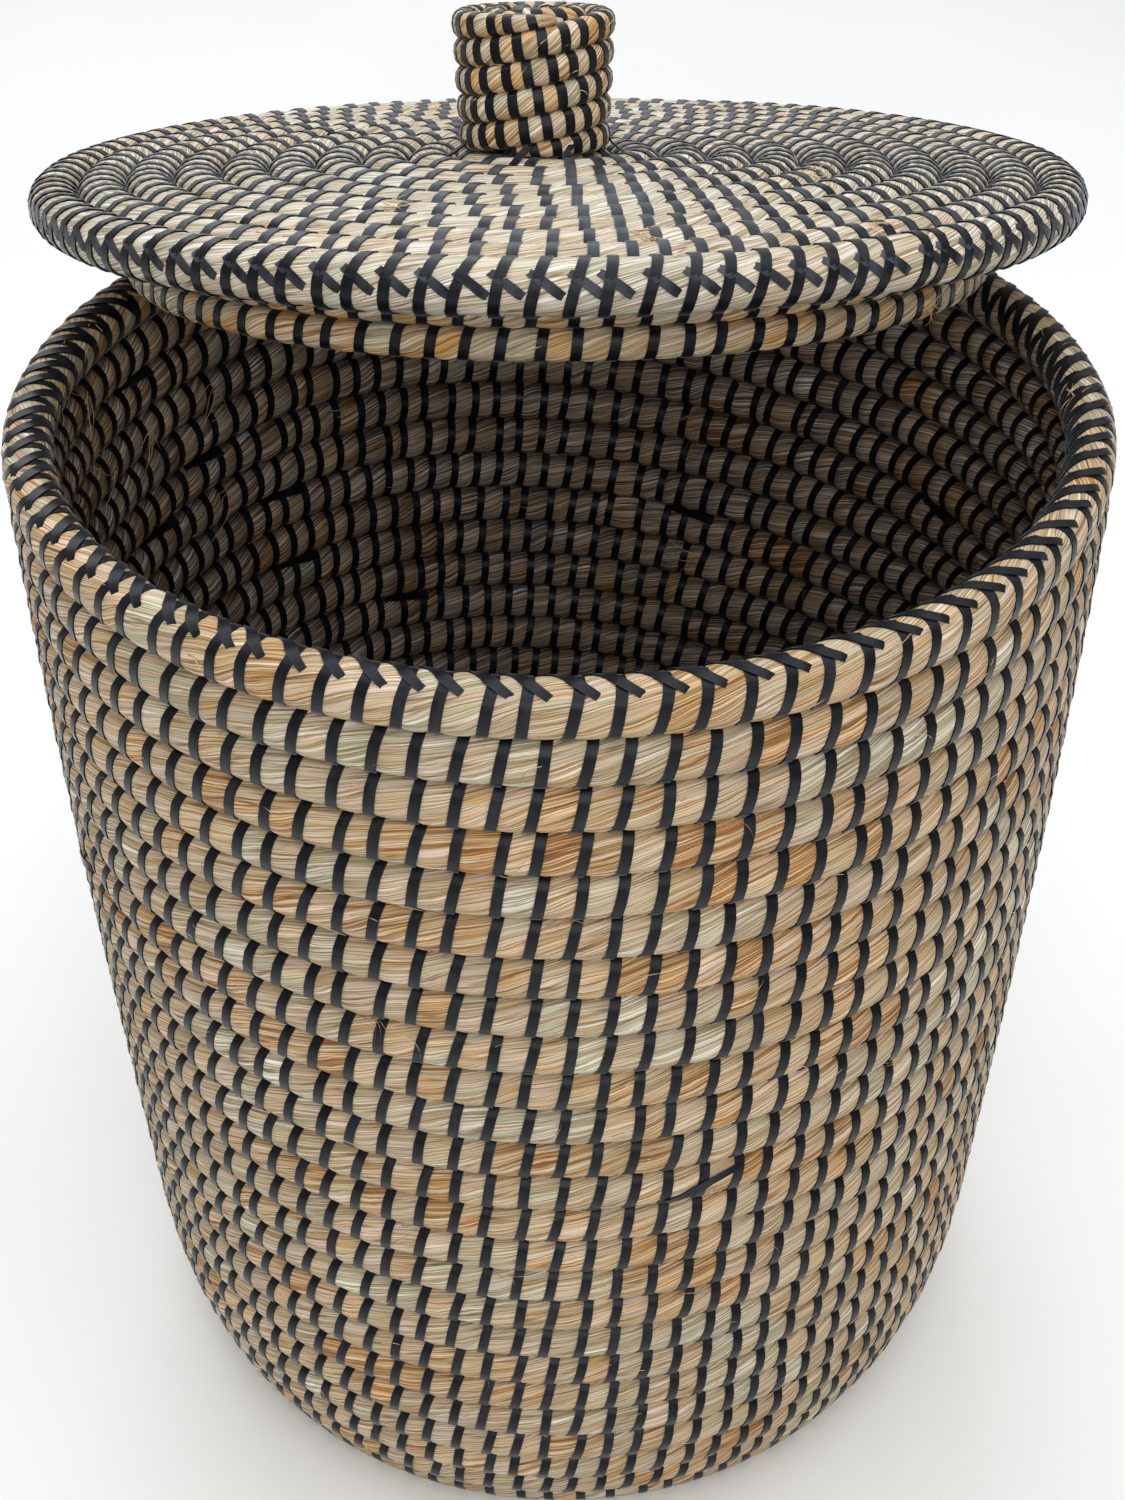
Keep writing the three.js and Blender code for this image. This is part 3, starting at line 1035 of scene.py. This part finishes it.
@dataclass
class CrossStitch:
    """A row of short slanting strips laid over a coil.

    Each one runs from one angle round the coil's section to another and slides along the coil on the
    way. Its ends narrow a little and are tucked into the grass.
    """

    work: CoilWork
    angles: Range
    slides: Range
    width: float = 3.9 * MM
    narrowed: float = 0.88
    tip: float = 0.25
    flattest: float = 0.02
    steepness: float = 12.0
    curve: float = 1.0
    steps: int = 8
    thickness: float = 0.5 * MM
    rise: float = 0.075
    tuck: float = 0.93

    def build(self, name: str, numbers: Array) -> Piece:
        """Makes the strips.

        Args:
            name: the piece's name.
            numbers: stitch numbers that get one.

        Returns:
            The wound strips.
        """
        piece = flat_strips(name, len(numbers), self.width, self.thickness, self.steps)
        straight = points_of(piece)
        order = np.round(straight[:, 0])
        share = np.clip(straight[:, 1] + 0.5, 0.0, 1.0)
        swing = self.angles[1] - self.angles[0]
        length = self.slides[1] - self.slides[0]
        climb = swing * self.work.radius
        run = self.curve * np.maximum(share, self.flattest) ** (self.curve - 1) * length
        full = smoothstep(np.minimum(share, 1 - share) / self.tip)
        narrowed = self.narrowed + (1 - self.narrowed) * full
        beside = (straight[:, 0] - order) * narrowed / np.hypot(run, climb)
        slide = self.slides[0] + share**self.curve * length + beside * abs(climb)
        aside = math.copysign(1.0, swing) * beside * run / self.work.radius
        angle = self.angles[0] + share * swing - aside
        number = np.asarray(numbers, dtype=float)[order.astype(int)]
        lifted = np.sqrt(np.clip(self.steepness * share * (1 - share), 0.0, 1.0))
        size = self.tuck + self.rise * lifted + np.abs(straight[:, 2]) / self.work.radius
        turn = self.work.sewing.turn(number, np.zeros_like(angle), slide)
        move_points(piece, self.work.wound(turn, angle, size))
        map_fibres(piece, slide + number * STRIP_STEP, angle, self.work.girth)
        bpy.ops.object.shade_smooth_by_angle(angle=SMOOTH_ANGLE)
        return piece

    def build_at(self, name: str, spots: Spots) -> Piece:
        """Makes strips at loops and directions, in degrees."""
        return self.build(name, np.array([self.work.sewing.number_at(*spot) for spot in spots]))


@dataclass
class LooseStraw:
    """Ends of straw that have come out of a coil: most lie close along it, and some stand off in tufts."""

    work: CoilWork
    seed: int
    radius: float = 0.2 * MM
    sides: int = 3
    steps: int = 5
    strand: float = 0.9
    narrower: float = 0.93
    narrow_tip: float = 0.55
    between: Range = (0.2, 0.6)
    length: Range = (5 * MM, 12 * MM)
    lift: Range = (0.2 * MM, 1.2 * MM)
    lift_power: float = 1.6
    sunk: float = 0.1 * MM
    slope_spread: float = 0.22
    curl: float = 0.5
    per_tuft: int = 9
    tuft_place: Range = (0.5, 0.18)
    tuft_spread: float = 0.16
    tuft_length: Range = (6 * MM, 14 * MM)
    tuft_lift: Range = (0.8 * MM, 3.2 * MM)
    tuft_slope: Range = (-0.6, 1.5)

    def build(self, name: str, count: int, arc: Range, tufts: Spots = (), tuft_angle: float = 0.0) -> Piece:
        """Makes the straws, and bends each one along the coil with its end lifted.

        Args:
            name: the piece's name.
            count: how many lie scattered along the coil.
            arc: the angles round the section that they keep to.
            tufts: loop and direction, in degrees, of each tuft.
            tuft_angle: angle round the section where tufts stand.

        Returns:
            The straws.
        """
        rng = np.random.default_rng(self.seed)
        sewing, radius, each = self.work.sewing, self.work.radius, self.per_tuft
        total = count + each * len(tufts)
        numbers = rng.integers(0, max(1, sewing.count - 2), total) + rng.uniform(*self.between, total)
        angles = rng.uniform(*arc, total)
        lengths = rng.uniform(*self.length, total)
        lifts = rng.uniform(*self.lift, total) * rng.random(total)
        slopes = math.radians(self.work.twist) + rng.normal(0.0, self.slope_spread, total)
        for tuft, spot in enumerate(tufts):
            own = slice(count + tuft * each, count + (tuft + 1) * each)
            numbers[own] = sewing.number_at(*spot) + rng.normal(*self.tuft_place, each)
            angles[own] = tuft_angle + rng.normal(0.0, self.tuft_spread, each)
            lengths[own] = rng.uniform(*self.tuft_length, each)
            lifts[own] = rng.uniform(*self.tuft_lift, each)
            slopes[own] = rng.uniform(*self.tuft_slope, each)
        curls = rng.normal(0.0, self.curl, total)

        piece = self._strands(name, total)
        straight = points_of(piece)
        order = np.floor(straight[:, 0] + (1 - self.strand) / 2).astype(int)
        share = (straight[:, 0] - order) / self.strand
        ahead = lengths[order] * share
        slope = slopes[order] + curls[order] * share
        number = numbers[order] + ahead * np.cos(slope) / sewing.spacing
        angle = angles[order] + (ahead * np.sin(slope) + straight[:, 1]) / radius
        size = 1.0 + (lifts[order] * share**self.lift_power + straight[:, 2] - self.sunk) / radius
        turn = sewing.turn(np.clip(number, 0.0, sewing.count), angles[order])
        move_points(piece, self.work.wound(turn, angle, size))
        bpy.ops.object.shade_smooth()
        return piece

    def _strands(self, name: str, total: int) -> Piece:
        """Straight tapered strands, one from each whole number along X."""
        circle = bpy.ops.mesh.primitive_circle_add
        shape = {"vertices": self.sides, "radius": self.radius, "fill_type": "NGON"}
        piece = new_piece(name, circle, rotation=ACROSS_X, **shape)
        with editing():
            for narrower in [self.narrower] * (self.steps - 1) + [self.narrow_tip]:
                extrude_along_x(self.strand / self.steps)
                bpy.ops.transform.resize(value=(1.0, narrower, narrower))
        repeat(piece, total, 1.0, merge=False)
        return piece


@dataclass
class KnobTies:
    """Strips that tie the foot of the knob to the lid, bent from the one onto the other."""

    foot_radius: float
    foot_height: float
    shift: float
    count: int = 7
    width: float = 3.5 * MM
    thickness: float = 0.6 * MM
    steps: int = 8
    rise: float = 4.5 * MM
    rise_power: float = 1.8
    reach: float = 7.5 * MM
    reach_power: float = 2.2
    bent_by: float = 1.15
    sunk: float = 0.5 * MM
    tuck: float = 3.0 * MM
    slant: Range = (-9 * MM, -4 * MM)
    spread: float = 0.12
    seed: int = 67

    def build(self, name: str) -> Piece:
        """Makes the ties.

        Args:
            name: the piece's name.

        Returns:
            The ties, in the lid's frame.
        """
        piece = flat_strips(name, self.count, self.width, self.thickness, self.steps)
        rng = np.random.default_rng(self.seed)
        straight = points_of(piece)
        order = np.round(straight[:, 0]).astype(int)
        beside = straight[:, 0] - order
        share = straight[:, 1] + 0.5
        raised = np.abs(straight[:, 2])
        slant = rng.uniform(*self.slant, self.count)[order] * share
        bent = np.clip(share * self.bent_by, 0.0, 1.0)
        radius = self.foot_radius - self.sunk + self.reach * bent**self.reach_power + raised
        tucked = self.tuck * np.maximum(0.0, 2 * share - 1)
        height = self.foot_height + self.rise * (1.0 - bent) ** self.rise_power + raised - tucked
        azimuths = np.arange(self.count) / self.count * FULL_TURN + rng.normal(0.0, self.spread, self.count)
        azimuth = azimuths[order] + (beside + slant) / radius
        x = radius * np.cos(azimuth) + self.shift
        y = radius * np.sin(azimuth)
        move_points(piece, np.stack([x, y, height], axis=1))
        map_fibres(piece, beside + order * STRIP_STEP, share * math.pi, 2 * self.reach)
        bpy.ops.object.shade_smooth_by_angle(angle=SMOOTH_ANGLE)
        return piece


@dataclass(frozen=True)
class Dresser:
    """Lays the pieces of one body in their place and gives them their finishes."""

    body: Body
    place: Matrix = field(default_factory=Matrix)

    def dress(self, piece: Piece, finish: Material, slot: Slot, *nodes: str) -> None:
        """Gives a piece its finish and puts it in its place on its body.

        Args:
            piece: the piece.
            finish: its material.
            slot: the record's slot that the finish stands for; not used.
            nodes: the solids that it replaces.
        """
        piece.data.transform(self.place)
        piece.data.materials.clear()
        piece.data.materials.append(finish)
        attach(piece, self.body.value)
        if nodes:
            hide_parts(*nodes)
        LOG.info("%s: %d faces on %s", piece.name, len(piece.data.polygons), self.body.value)

    def sew(
        self,
        work: CoilWork,
        names: tuple[str, str],
        looks: tuple[Material, Material],
        slot: Slot,
        node: str,
        stretch: tuple[int, int] | None = None,
    ) -> None:
        """Makes and dresses a bundle and its stitches.

        Args:
            work: the coil.
            names: names of the bundle and of the stitches.
            looks: materials of the bundle and of the stitches.
            slot: the record's slot of the bundle.
            node: the solid that the bundle replaces.
            stretch: the stitch numbers that it lies between, or None for the whole coil.
        """
        first, last = stretch or (0, work.sewing.count)
        self.dress(work.grass(names[0], first, last), looks[0], slot, node)
        self.dress(work.stitches(names[1], first, last), looks[1], Slot.STRIP)


# Sub-assemblies


def length_of(profile: Array) -> float:
    """Length along a profile."""
    return float(np.linalg.norm(np.diff(profile, axis=0), axis=1).sum())


@dataclass
class Basket:
    """The body of the basket: a flat spiral base, the wall wound on it and the rim."""

    coil: float = 20 * MM
    rim_diameter: float = 450 * MM
    height: float = 497 * MM
    taper: float = 20.6 * MM
    taper_power: float = 1.6
    foot_draw_in: float = 13 * MM
    foot_bend_height: float = 80 * MM
    foot_bend_power: float = 2.4
    base_eye: float = 11 * MM
    base_rise: float = 0.8 * MM
    base_lean: float = -1.6 * MM
    wall_parts: tuple[str, ...] = ("foot", "lower", "upper", "top")
    spacing: float = 13.4 * MM
    per_loop: int = 101
    crowding: float = 0.06
    lean: float = 4.4 * MM
    inner_lean: float = 0.75
    splices: Spots = ((12, 286.0), (18, 34.0), (7, 118.0), (15, 201.0))
    inner_splices: Spots = (
        (22, 157.0), (19, 144.0), (16, 133.0), (18, 154.0), (14, 132.0), (12, 113.0), (15, 69.0), (18, 30.0)
    )
    tufts: Spots = (
        (9, 272.0), (8, 279.0), (9, 262.0), (19, 268.0), (16, 248.0), (13, 305.0), (21, 284.0), (5, 255.0),
        (11, 20.0), (18, 160.0), (6, 100.0),
    )
    inner_tufts: Spots = (
        (21, 152.0), (21, 139.0), (21, 162.0), (18, 138.0), (18, 67.0), (14, 67.0), (23, 167.0)
    )
    rim_tufts: tuple[float, ...] = (161.0, 354.0)
    straws: int = 900
    straw_arc: Range = (-1.35, 1.35)
    inner_straws: int = 160
    inner_straw_arc: Range = (1.9, 4.4)
    rim_straws: int = 60
    rim_straw_arc: Range = (-1.3, 3.4)

    def wall_radius(self, z: Array) -> Array:
        """Radius of the middle of the wall at a height."""
        rim_z, foot_z = self.height - self.coil / 2, self.coil / 2
        drop = np.maximum(0.0, rim_z - z) / (rim_z - foot_z)
        bend = np.maximum(0.0, foot_z + self.foot_bend_height - z) / self.foot_bend_height
        upright = (self.rim_diameter - self.coil) / 2 - self.taper * drop**self.taper_power
        return upright - self.foot_draw_in * bend**self.foot_bend_power

    def wall_path(self) -> tuple[CoilPath, int]:
        """The wall's courses and the number of its rim course."""
        z = np.linspace(self.coil / 2, self.height + self.coil / 2, PROFILE_POINTS)
        profile = np.stack([self.wall_radius(z), z], axis=1)
        length = length_of(profile) - self.coil
        rim_course = round(length / self.coil)
        return CoilPath(profile, 1, length / rim_course, self.coil, (0.5, rim_course + 0.5)), rim_course

    def base_path(self) -> tuple[CoilPath, int]:
        """The base's flat spiral and the number of its edge course."""
        edge = float(self.wall_radius(np.array([self.coil / 2]))[0])
        courses = round((edge - self.base_eye) / self.coil)
        radius = np.linspace(0.0, edge + self.coil, PROFILE_POINTS)
        profile = np.stack([radius, np.full_like(radius, self.coil / 2 + self.base_rise)], axis=1)
        pitch = (edge - self.base_eye) / courses
        return CoilPath(profile, -1, pitch, self.coil, (-0.5, courses + 0.5), self.base_eye), courses

    def build(self, finishes: Finishes) -> None:
        """Makes and dresses the base, the wall, the rim and what is laid over them.

        Args:
            finishes: the materials.
        """
        dresser = Dresser(Body.BASKET)
        path, edge = self.base_path()
        sewing = Sewing(path, 0.0, path.end(edge), self.spacing, self.base_lean, seed=11)
        base = CoilWork(sewing, sides=18, twist=LID_TWIST)
        looks = finishes.base, finishes.strip
        dresser.sew(base, ("base_coil", "base_stitches"), looks, Slot.BASE, "base_disc")

        path, rim_course = self.wall_path()
        rim_sewing = Sewing(
            path,
            float(rim_course),
            path.end(rim_course),
            self.spacing,
            self.lean,
            seed=37,
            per_loop=self.per_loop,
            crowding=self.crowding,
        )
        wall_ends = {"first": 1 - path.tail, "last": float(rim_course)}
        wall = CoilWork(
            replace(rim_sewing, **wall_ends, seed=23, inner_lean=self.inner_lean),
            pinch=0.04,
            inner_pinch=0.07,
            strip_thickness=0.75 * MM,
            # Painted shade on the inside of the wall and near its grooves.
            inner_shade=1.0,
            valley_shade=(0.5, 0.35),
        )
        looks = finishes.wall, finishes.strip
        ends = [int(end) for end in np.round(np.linspace(0, wall.sewing.count, len(self.wall_parts) + 1))]
        for part, *stretch in zip(self.wall_parts, ends[:-1], ends[1:]):
            names = f"wall_coil_{part}", f"wall_stitches_{part}"
            dresser.sew(wall, names, looks, Slot.WALL, "wall_coil", tuple(stretch))
        rim = CoilWork(rim_sewing)
        dresser.sew(rim, ("rim_coil_grass", "rim_stitches"), looks, Slot.WALL, "rim_coil")
        self._strip_ends(dresser, wall, rim, finishes)
        self._straw(dresser, wall, rim, finishes)

    def _strip_ends(self, dresser: Dresser, wall: CoilWork, rim: CoilWork, finishes: Finishes) -> None:
        """Adds the rim's second stitches, and strip ends that were sewn under later stitches."""
        over_rim = math.radians(175), math.radians(50)
        cross = CrossStitch(rim, over_rim, (-12.0 * MM, 8.6 * MM), curve=1.3, steps=12)
        on_face = math.radians(-30), math.radians(38)
        outside = CrossStitch(wall, on_face, (-17 * MM, 17 * MM), width=2.8 * MM, rise=0.1)
        in_groove = math.radians(128), math.radians(112)
        inside = CrossStitch(wall, in_groove, (-13 * MM, 13 * MM), width=5.2 * MM, rise=0.12)
        for strips in (
            cross.build("rim_cross_stitches", np.arange(rim.sewing.count)),
            outside.build_at("wall_splices", self.splices),
            inside.build_at("wall_inner_splices", self.inner_splices),
        ):
            dresser.dress(strips, finishes.strip, Slot.STRIP)

    def _straw(self, dresser: Dresser, wall: CoilWork, rim: CoilWork, finishes: Finishes) -> None:
        """Adds straw that has come loose outside, inside and at the rim."""
        outside = LooseStraw(wall, seed=71)
        whiskers = {"tuft_length": (10 * MM, 24 * MM), "tuft_lift": (2 * MM, 7 * MM)}
        inside = LooseStraw(wall, seed=73, per_tuft=4, **whiskers)
        at_rim = LooseStraw(rim, seed=79, per_tuft=5)
        rim_tufts = tuple((int(rim.sewing.first), azimuth) for azimuth in self.rim_tufts)
        for name, straw, count, arc, tufts, tuft_angle in (
            ("wall_straw", outside, self.straws, self.straw_arc, self.tufts, 60),
            ("wall_inner_straw", inside, self.inner_straws, self.inner_straw_arc, self.inner_tufts, 150),
            ("rim_straw", at_rim, self.rim_straws, self.rim_straw_arc, rim_tufts, 120),
        ):
            piece = straw.build(name, count, arc, tufts, math.radians(tuft_angle))
            dresser.dress(piece, finishes.straw, Slot.WALL)


@dataclass
class Lid:
    """The loose lid: a shallow dome of courses, its rim, the locating ring under it and the knob.

    It is built level and then tilted and set back, as it lies on the basket.
    """

    coil: float = 20 * MM
    diameter: float = 450 * MM
    dome: float = 6 * MM
    eye: float = 15 * MM
    ring_coil: float = 12.5 * MM
    ring_courses: int = 2
    ring_outer: float = 188 * MM
    seat: float = 0.35 * MM
    knob_coil: float = 11.4 * MM
    knob_courses: int = 5
    knob_diameter: float = 70 * MM
    knob_waist: float = 2.5 * MM
    knob_offset: float = -10 * MM
    knob_climb_share: float = 0.5
    knob_margin: float = 0.2
    cap_rise: float = 1.5 * MM
    cap_eye: float = 5.5 * MM
    cap_ends: Range = (-0.45, 1.5)
    cap_tail_share: float = 0.85
    tilt: float = math.radians(13)
    set_back: float = 107 * MM
    rest_height: float = 537.5 * MM
    spacing: float = 13.4 * MM
    top_spacing: float = 12.8 * MM
    top_lean: float = -1.6 * MM
    rim_per_loop: int = 108
    rim_lean: float = -5.4 * MM
    rim_upright: float = math.radians(60)
    ring_lean: float = -2.6 * MM
    knob_spacing: float = 8.6 * MM
    knob_lean: float = -1.4 * MM
    cap_lean: float = 0.5 * MM
    tufts: Spots = ((8, 277.0), (9, 302.0), (6, 240.0), (7, 80.0), (5, 330.0))
    ring_tufts: Spots = ((1, 318.0),)
    knob_tufts: Spots = ((4, 290.0),)
    straw_arc: Range = (-1.3, 1.3)
    rim_straw_arc: Range = (-1.3, 2.2)

    @property
    def placed(self) -> Matrix:
        """Where the lid lies on the basket."""
        tilted = Matrix.Rotation(-self.tilt, 4, "X")
        return Matrix.Translation((0.0, self.set_back, self.rest_height)) @ tilted

    @property
    def edge(self) -> float:
        """Radius of the middle of the lid's rim course."""
        return (self.diameter - self.coil) / 2

    @property
    def knob_foot(self) -> float:
        """Height of the knob's foot, on top of the lid's middle."""
        return self.coil / 2 + self.dome

    def top_height(self, radius: Array) -> Array:
        """Height of the middle of the lid's courses at a radius."""
        return self.dome * (1 - (radius / self.edge) ** 2)

    def lid_path(self) -> tuple[CoilPath, int]:
        """The lid's courses and the number of its rim course."""
        # The profile starts half a coil before the eye and ends a coil past the rim's middle
        courses = round((self.edge - self.eye) / self.coil)
        radius = np.linspace(self.eye - self.coil / 2, self.edge + self.coil, PROFILE_POINTS)
        profile = np.stack([radius, self.top_height(radius)], axis=1)
        pitch = (length_of(profile) - 1.5 * self.coil) / courses
        return CoilPath(profile, -1, pitch, self.coil, (-0.5, courses + 0.5), self.coil / 2), courses

    def ring_path(self) -> CoilPath:
        """The locating ring, wound downwards from the lid's underside."""
        coil = self.ring_coil
        top = float(self.top_height(np.array([self.ring_outer]))[0]) - self.coil / 2 - self.seat
        depth = np.linspace(-coil, (self.ring_courses + 1) * coil, PROFILE_POINTS)
        profile = np.stack([np.full_like(depth, self.ring_outer - coil / 2), top - depth], axis=1)
        return CoilPath(profile, -1, coil, coil, (-0.5, self.ring_courses - 0.5), 1.5 * coil)

    def knob_path(self) -> CoilPath:
        """The knob's drum, which is a little narrower at its foot."""
        radius = (self.knob_diameter - self.knob_coil) / 2
        height = self.knob_courses * self.knob_coil
        share = np.linspace(-self.knob_margin, 1 + self.knob_margin, PROFILE_POINTS)
        profile = np.stack([radius - self.knob_waist * (1 - share), share * height], axis=1)
        length = float(np.hypot(self.knob_waist, height))
        pitch = length / self.knob_courses
        return CoilPath(
            profile,
            1,
            pitch,
            self.knob_coil,
            (-0.5, self.knob_courses - 0.5),
            self.knob_margin * length + pitch / 2,
            share=self.knob_climb_share,
            seam=0.0,
            shift=self.knob_offset,
            lift=self.knob_foot,
        )

    def cap_path(self) -> CoilPath:
        """The flat spiral that closes the top of the knob."""
        outer = self.knob_diameter / 2
        radius = np.linspace(0.0, outer, PROFILE_POINTS)
        height = (self.knob_courses - 0.5) * self.knob_coil + self.cap_rise * (1 - (radius / outer) ** 2)
        return replace(
            self.knob_path(),
            profile=np.stack([radius, height], axis=1),
            face=-1,
            pitch=self.knob_coil,
            ends=self.cap_ends,
            start=self.cap_eye,
            tail_share=self.cap_tail_share,
        )

    def build(self, finishes: Finishes) -> None:
        """Makes and dresses the lid's pieces and what is laid over them.

        Args:
            finishes: the materials.
        """
        dresser = Dresser(Body.LID, self.placed)
        top, rim = self._top()
        path = self.ring_path()
        last = path.end(self.ring_courses - 1)
        sewing = Sewing(path, -path.tail, last, self.spacing, self.ring_lean, seed=47)
        ring = CoilWork(sewing, sides=18, pinch=0.1, twist=LID_TWIST)
        knob, cap = self._knob()
        # The lid's top stitches and cross stitches take the lid strip, whose dust tone is partly painted
        # sheen.
        strip = finishes.strip
        for work, node, name, looks, slot in (
            (top, "lid_coil", "lid", (finishes.lid, finishes.lid_strip), Slot.LID),
            (rim, "lid_rim_coil", "lid_rim", (finishes.lid, strip), Slot.LID),
            (ring, "lid_ring_coil", "lid_ring", (finishes.ring, strip), Slot.LID),
            (knob, "knob_coil", "knob", (finishes.knob, strip), Slot.KNOB),
            (cap, "knob_cap", "knob_cap", (finishes.knob, strip), Slot.KNOB),
        ):
            dresser.sew(work, (f"{name}_grass", f"{name}_stitches"), looks, slot, node)

        over_rim = math.radians(44), math.radians(95)
        cross = CrossStitch(rim, over_rim, (-6.0 * MM, 6.0 * MM), width=3.4 * MM)
        over = cross.build("lid_rim_cross_stitches", np.arange(rim.sewing.count))
        dresser.dress(over, finishes.lid_strip, Slot.STRIP)
        foot_radius = self.knob_diameter / 2 - self.knob_waist
        ties = KnobTies(foot_radius, self.knob_foot, self.knob_offset).build("knob_ties")
        dresser.dress(ties, strip, Slot.STRIP)
        for name, work, seed, count, arc, tufts, tuft_angle in (
            ("lid_straw", top, 83, 260, self.straw_arc, self.tufts, 0.2),
            ("lid_rim_straw", rim, 89, 70, self.rim_straw_arc, (), 0.0),
            ("lid_ring_straw", ring, 97, 50, self.straw_arc, self.ring_tufts, 0.0),
            ("knob_straw", knob, 101, 60, self.straw_arc, self.knob_tufts, 0.4),
        ):
            straw = LooseStraw(work, seed).build(name, count, arc, tufts, tuft_angle)
            dresser.dress(straw, finishes.straw, Slot.LID)

    def _top(self) -> tuple[CoilWork, CoilWork]:
        """The coils of the lid's top and of its rim."""
        path, rim_course = self.lid_path()
        top = CoilWork(
            Sewing(path, 0.0, float(rim_course), self.top_spacing, self.top_lean, seed=41),
            roundness=2.15,
            pinch=0.01,
            strip_thickness=0.85 * MM,
            ridge=0.018,
            twist=LID_TWIST,
        )
        rim_sewing = replace(
            top.sewing,
            first=float(rim_course),
            last=path.end(rim_course),
            lean=self.rim_lean,
            seed=43,
            per_loop=self.rim_per_loop,
            upright=self.rim_upright,
        )
        return top, replace(top, sewing=rim_sewing)

    def _knob(self) -> tuple[CoilWork, CoilWork]:
        """The coils of the knob's drum and of its cap."""
        path = self.knob_path()
        last = path.end(self.knob_courses - 1)
        knob = CoilWork(
            Sewing(path, -path.tail, last, self.knob_spacing, self.knob_lean, seed=53, meet=0.75, drift=0.4),
            sides=18,
            roundness=2.45,
            pinch=0.09,
            strip_width=3.6 * MM,
            strip_thickness=0.75 * MM,
            twist=KNOB_TWIST,
        )
        path = self.cap_path()
        cap_sewing = Sewing(path, 0.0, path.end(1), self.knob_spacing, self.cap_lean, seed=59)
        return knob, replace(knob, sewing=cap_sewing, roundness=2.1)


@dataclass(frozen=True)
class Lamp:
    """A square soft light that faces a point."""

    name: str
    place: Triple
    target: Triple
    size: float
    power: float
    colour: Triple

    def build(self) -> None:
        """Adds the light."""
        lamp = bpy.data.lights.new(self.name, "AREA")
        lamp.size = self.size
        lamp.energy = self.power
        lamp.color = self.colour
        light = bpy.data.objects.new(self.name, lamp)
        bpy.context.scene.collection.objects.link(light)
        light.location = self.place
        towards = Vector(self.target) - Vector(self.place)
        light.rotation_euler = towards.to_track_quat("-Z", "Y").to_euler()


@dataclass
class Studio:
    """A pale floor, soft light from above and a camera where the photograph was taken from."""

    floor_size: float = 40.0
    world_strength: float = 0.38
    lamps: tuple[Lamp, ...] = (
        Lamp("top_light", (0.1, 0.1, 2.7), (0.0, 0.0, 0.3), 3.0, 56.0, (0.95, 0.98, 1.0)),
        Lamp("front_light", (0.15, -2.8, 2.1), (0.0, 0.0, 0.2), 2.0, 43.0, (1.0, 0.98, 0.95)),
        Lamp("back_light", (-1.2, 5.0, 3.6), (0.0, 1.0, 0.0), 4.0, 110.0, (0.93, 0.97, 1.0)),
    )
    camera_place: Triple = (0.0, -0.809, 0.912)
    pitch_down: float = 0.6486
    roll: float = -0.005
    sensor_height: float = 36.0
    focal_pixels: float = 2188.0
    image_width: int = 1125
    image_height: int = 1500
    axis_pixel: Range = (560.8, 767.6)

    def build(self) -> None:
        """Makes the floor, the lights and the camera."""
        floor = new_piece("floor", bpy.ops.mesh.primitive_plane_add, size=self.floor_size)
        floor.data.materials.append(FloorFinish().material())

        world = bpy.data.worlds.new("studio")
        bpy.context.scene.world = world
        world.use_nodes = True
        sky = world.node_tree.nodes["Background"]
        sky.inputs["Color"].default_value = (1.0, 1.0, 1.0, 1.0)
        sky.inputs["Strength"].default_value = self.world_strength
        for lamp in self.lamps:
            lamp.build()
        self._camera()

    def _camera(self) -> None:
        """Sets up the camera."""
        lens = bpy.data.cameras.new("camera")
        camera = bpy.data.objects.new("camera", lens)
        bpy.context.scene.collection.objects.link(camera)
        lens.sensor_fit = "VERTICAL"
        lens.sensor_height = self.sensor_height
        lens.lens = self.sensor_height * self.focal_pixels / self.image_height
        lens.shift_x = (self.image_width / 2 - self.axis_pixel[0]) / self.image_height
        lens.shift_y = (self.axis_pixel[1] - self.image_height / 2) / self.image_height
        turn = Matrix.Rotation(math.pi / 2 - self.pitch_down, 4, "X") @ Matrix.Rotation(self.roll, 4, "Z")
        camera.matrix_world = Matrix.Translation(self.camera_place) @ turn
        bpy.context.scene.camera = camera
        bpy.context.scene.view_settings.view_transform = "Standard"


def main() -> None:
    """Builds the studio, the basket and the lid."""
    logging.basicConfig(level=logging.INFO, format="%(name)s: %(message)s")
    Studio().build()
    finishes = Finishes.make()
    Basket().build(finishes)
    Lid().build(finishes)
    bpy.context.view_layer.update()


if __name__ == "__main__":
    main()
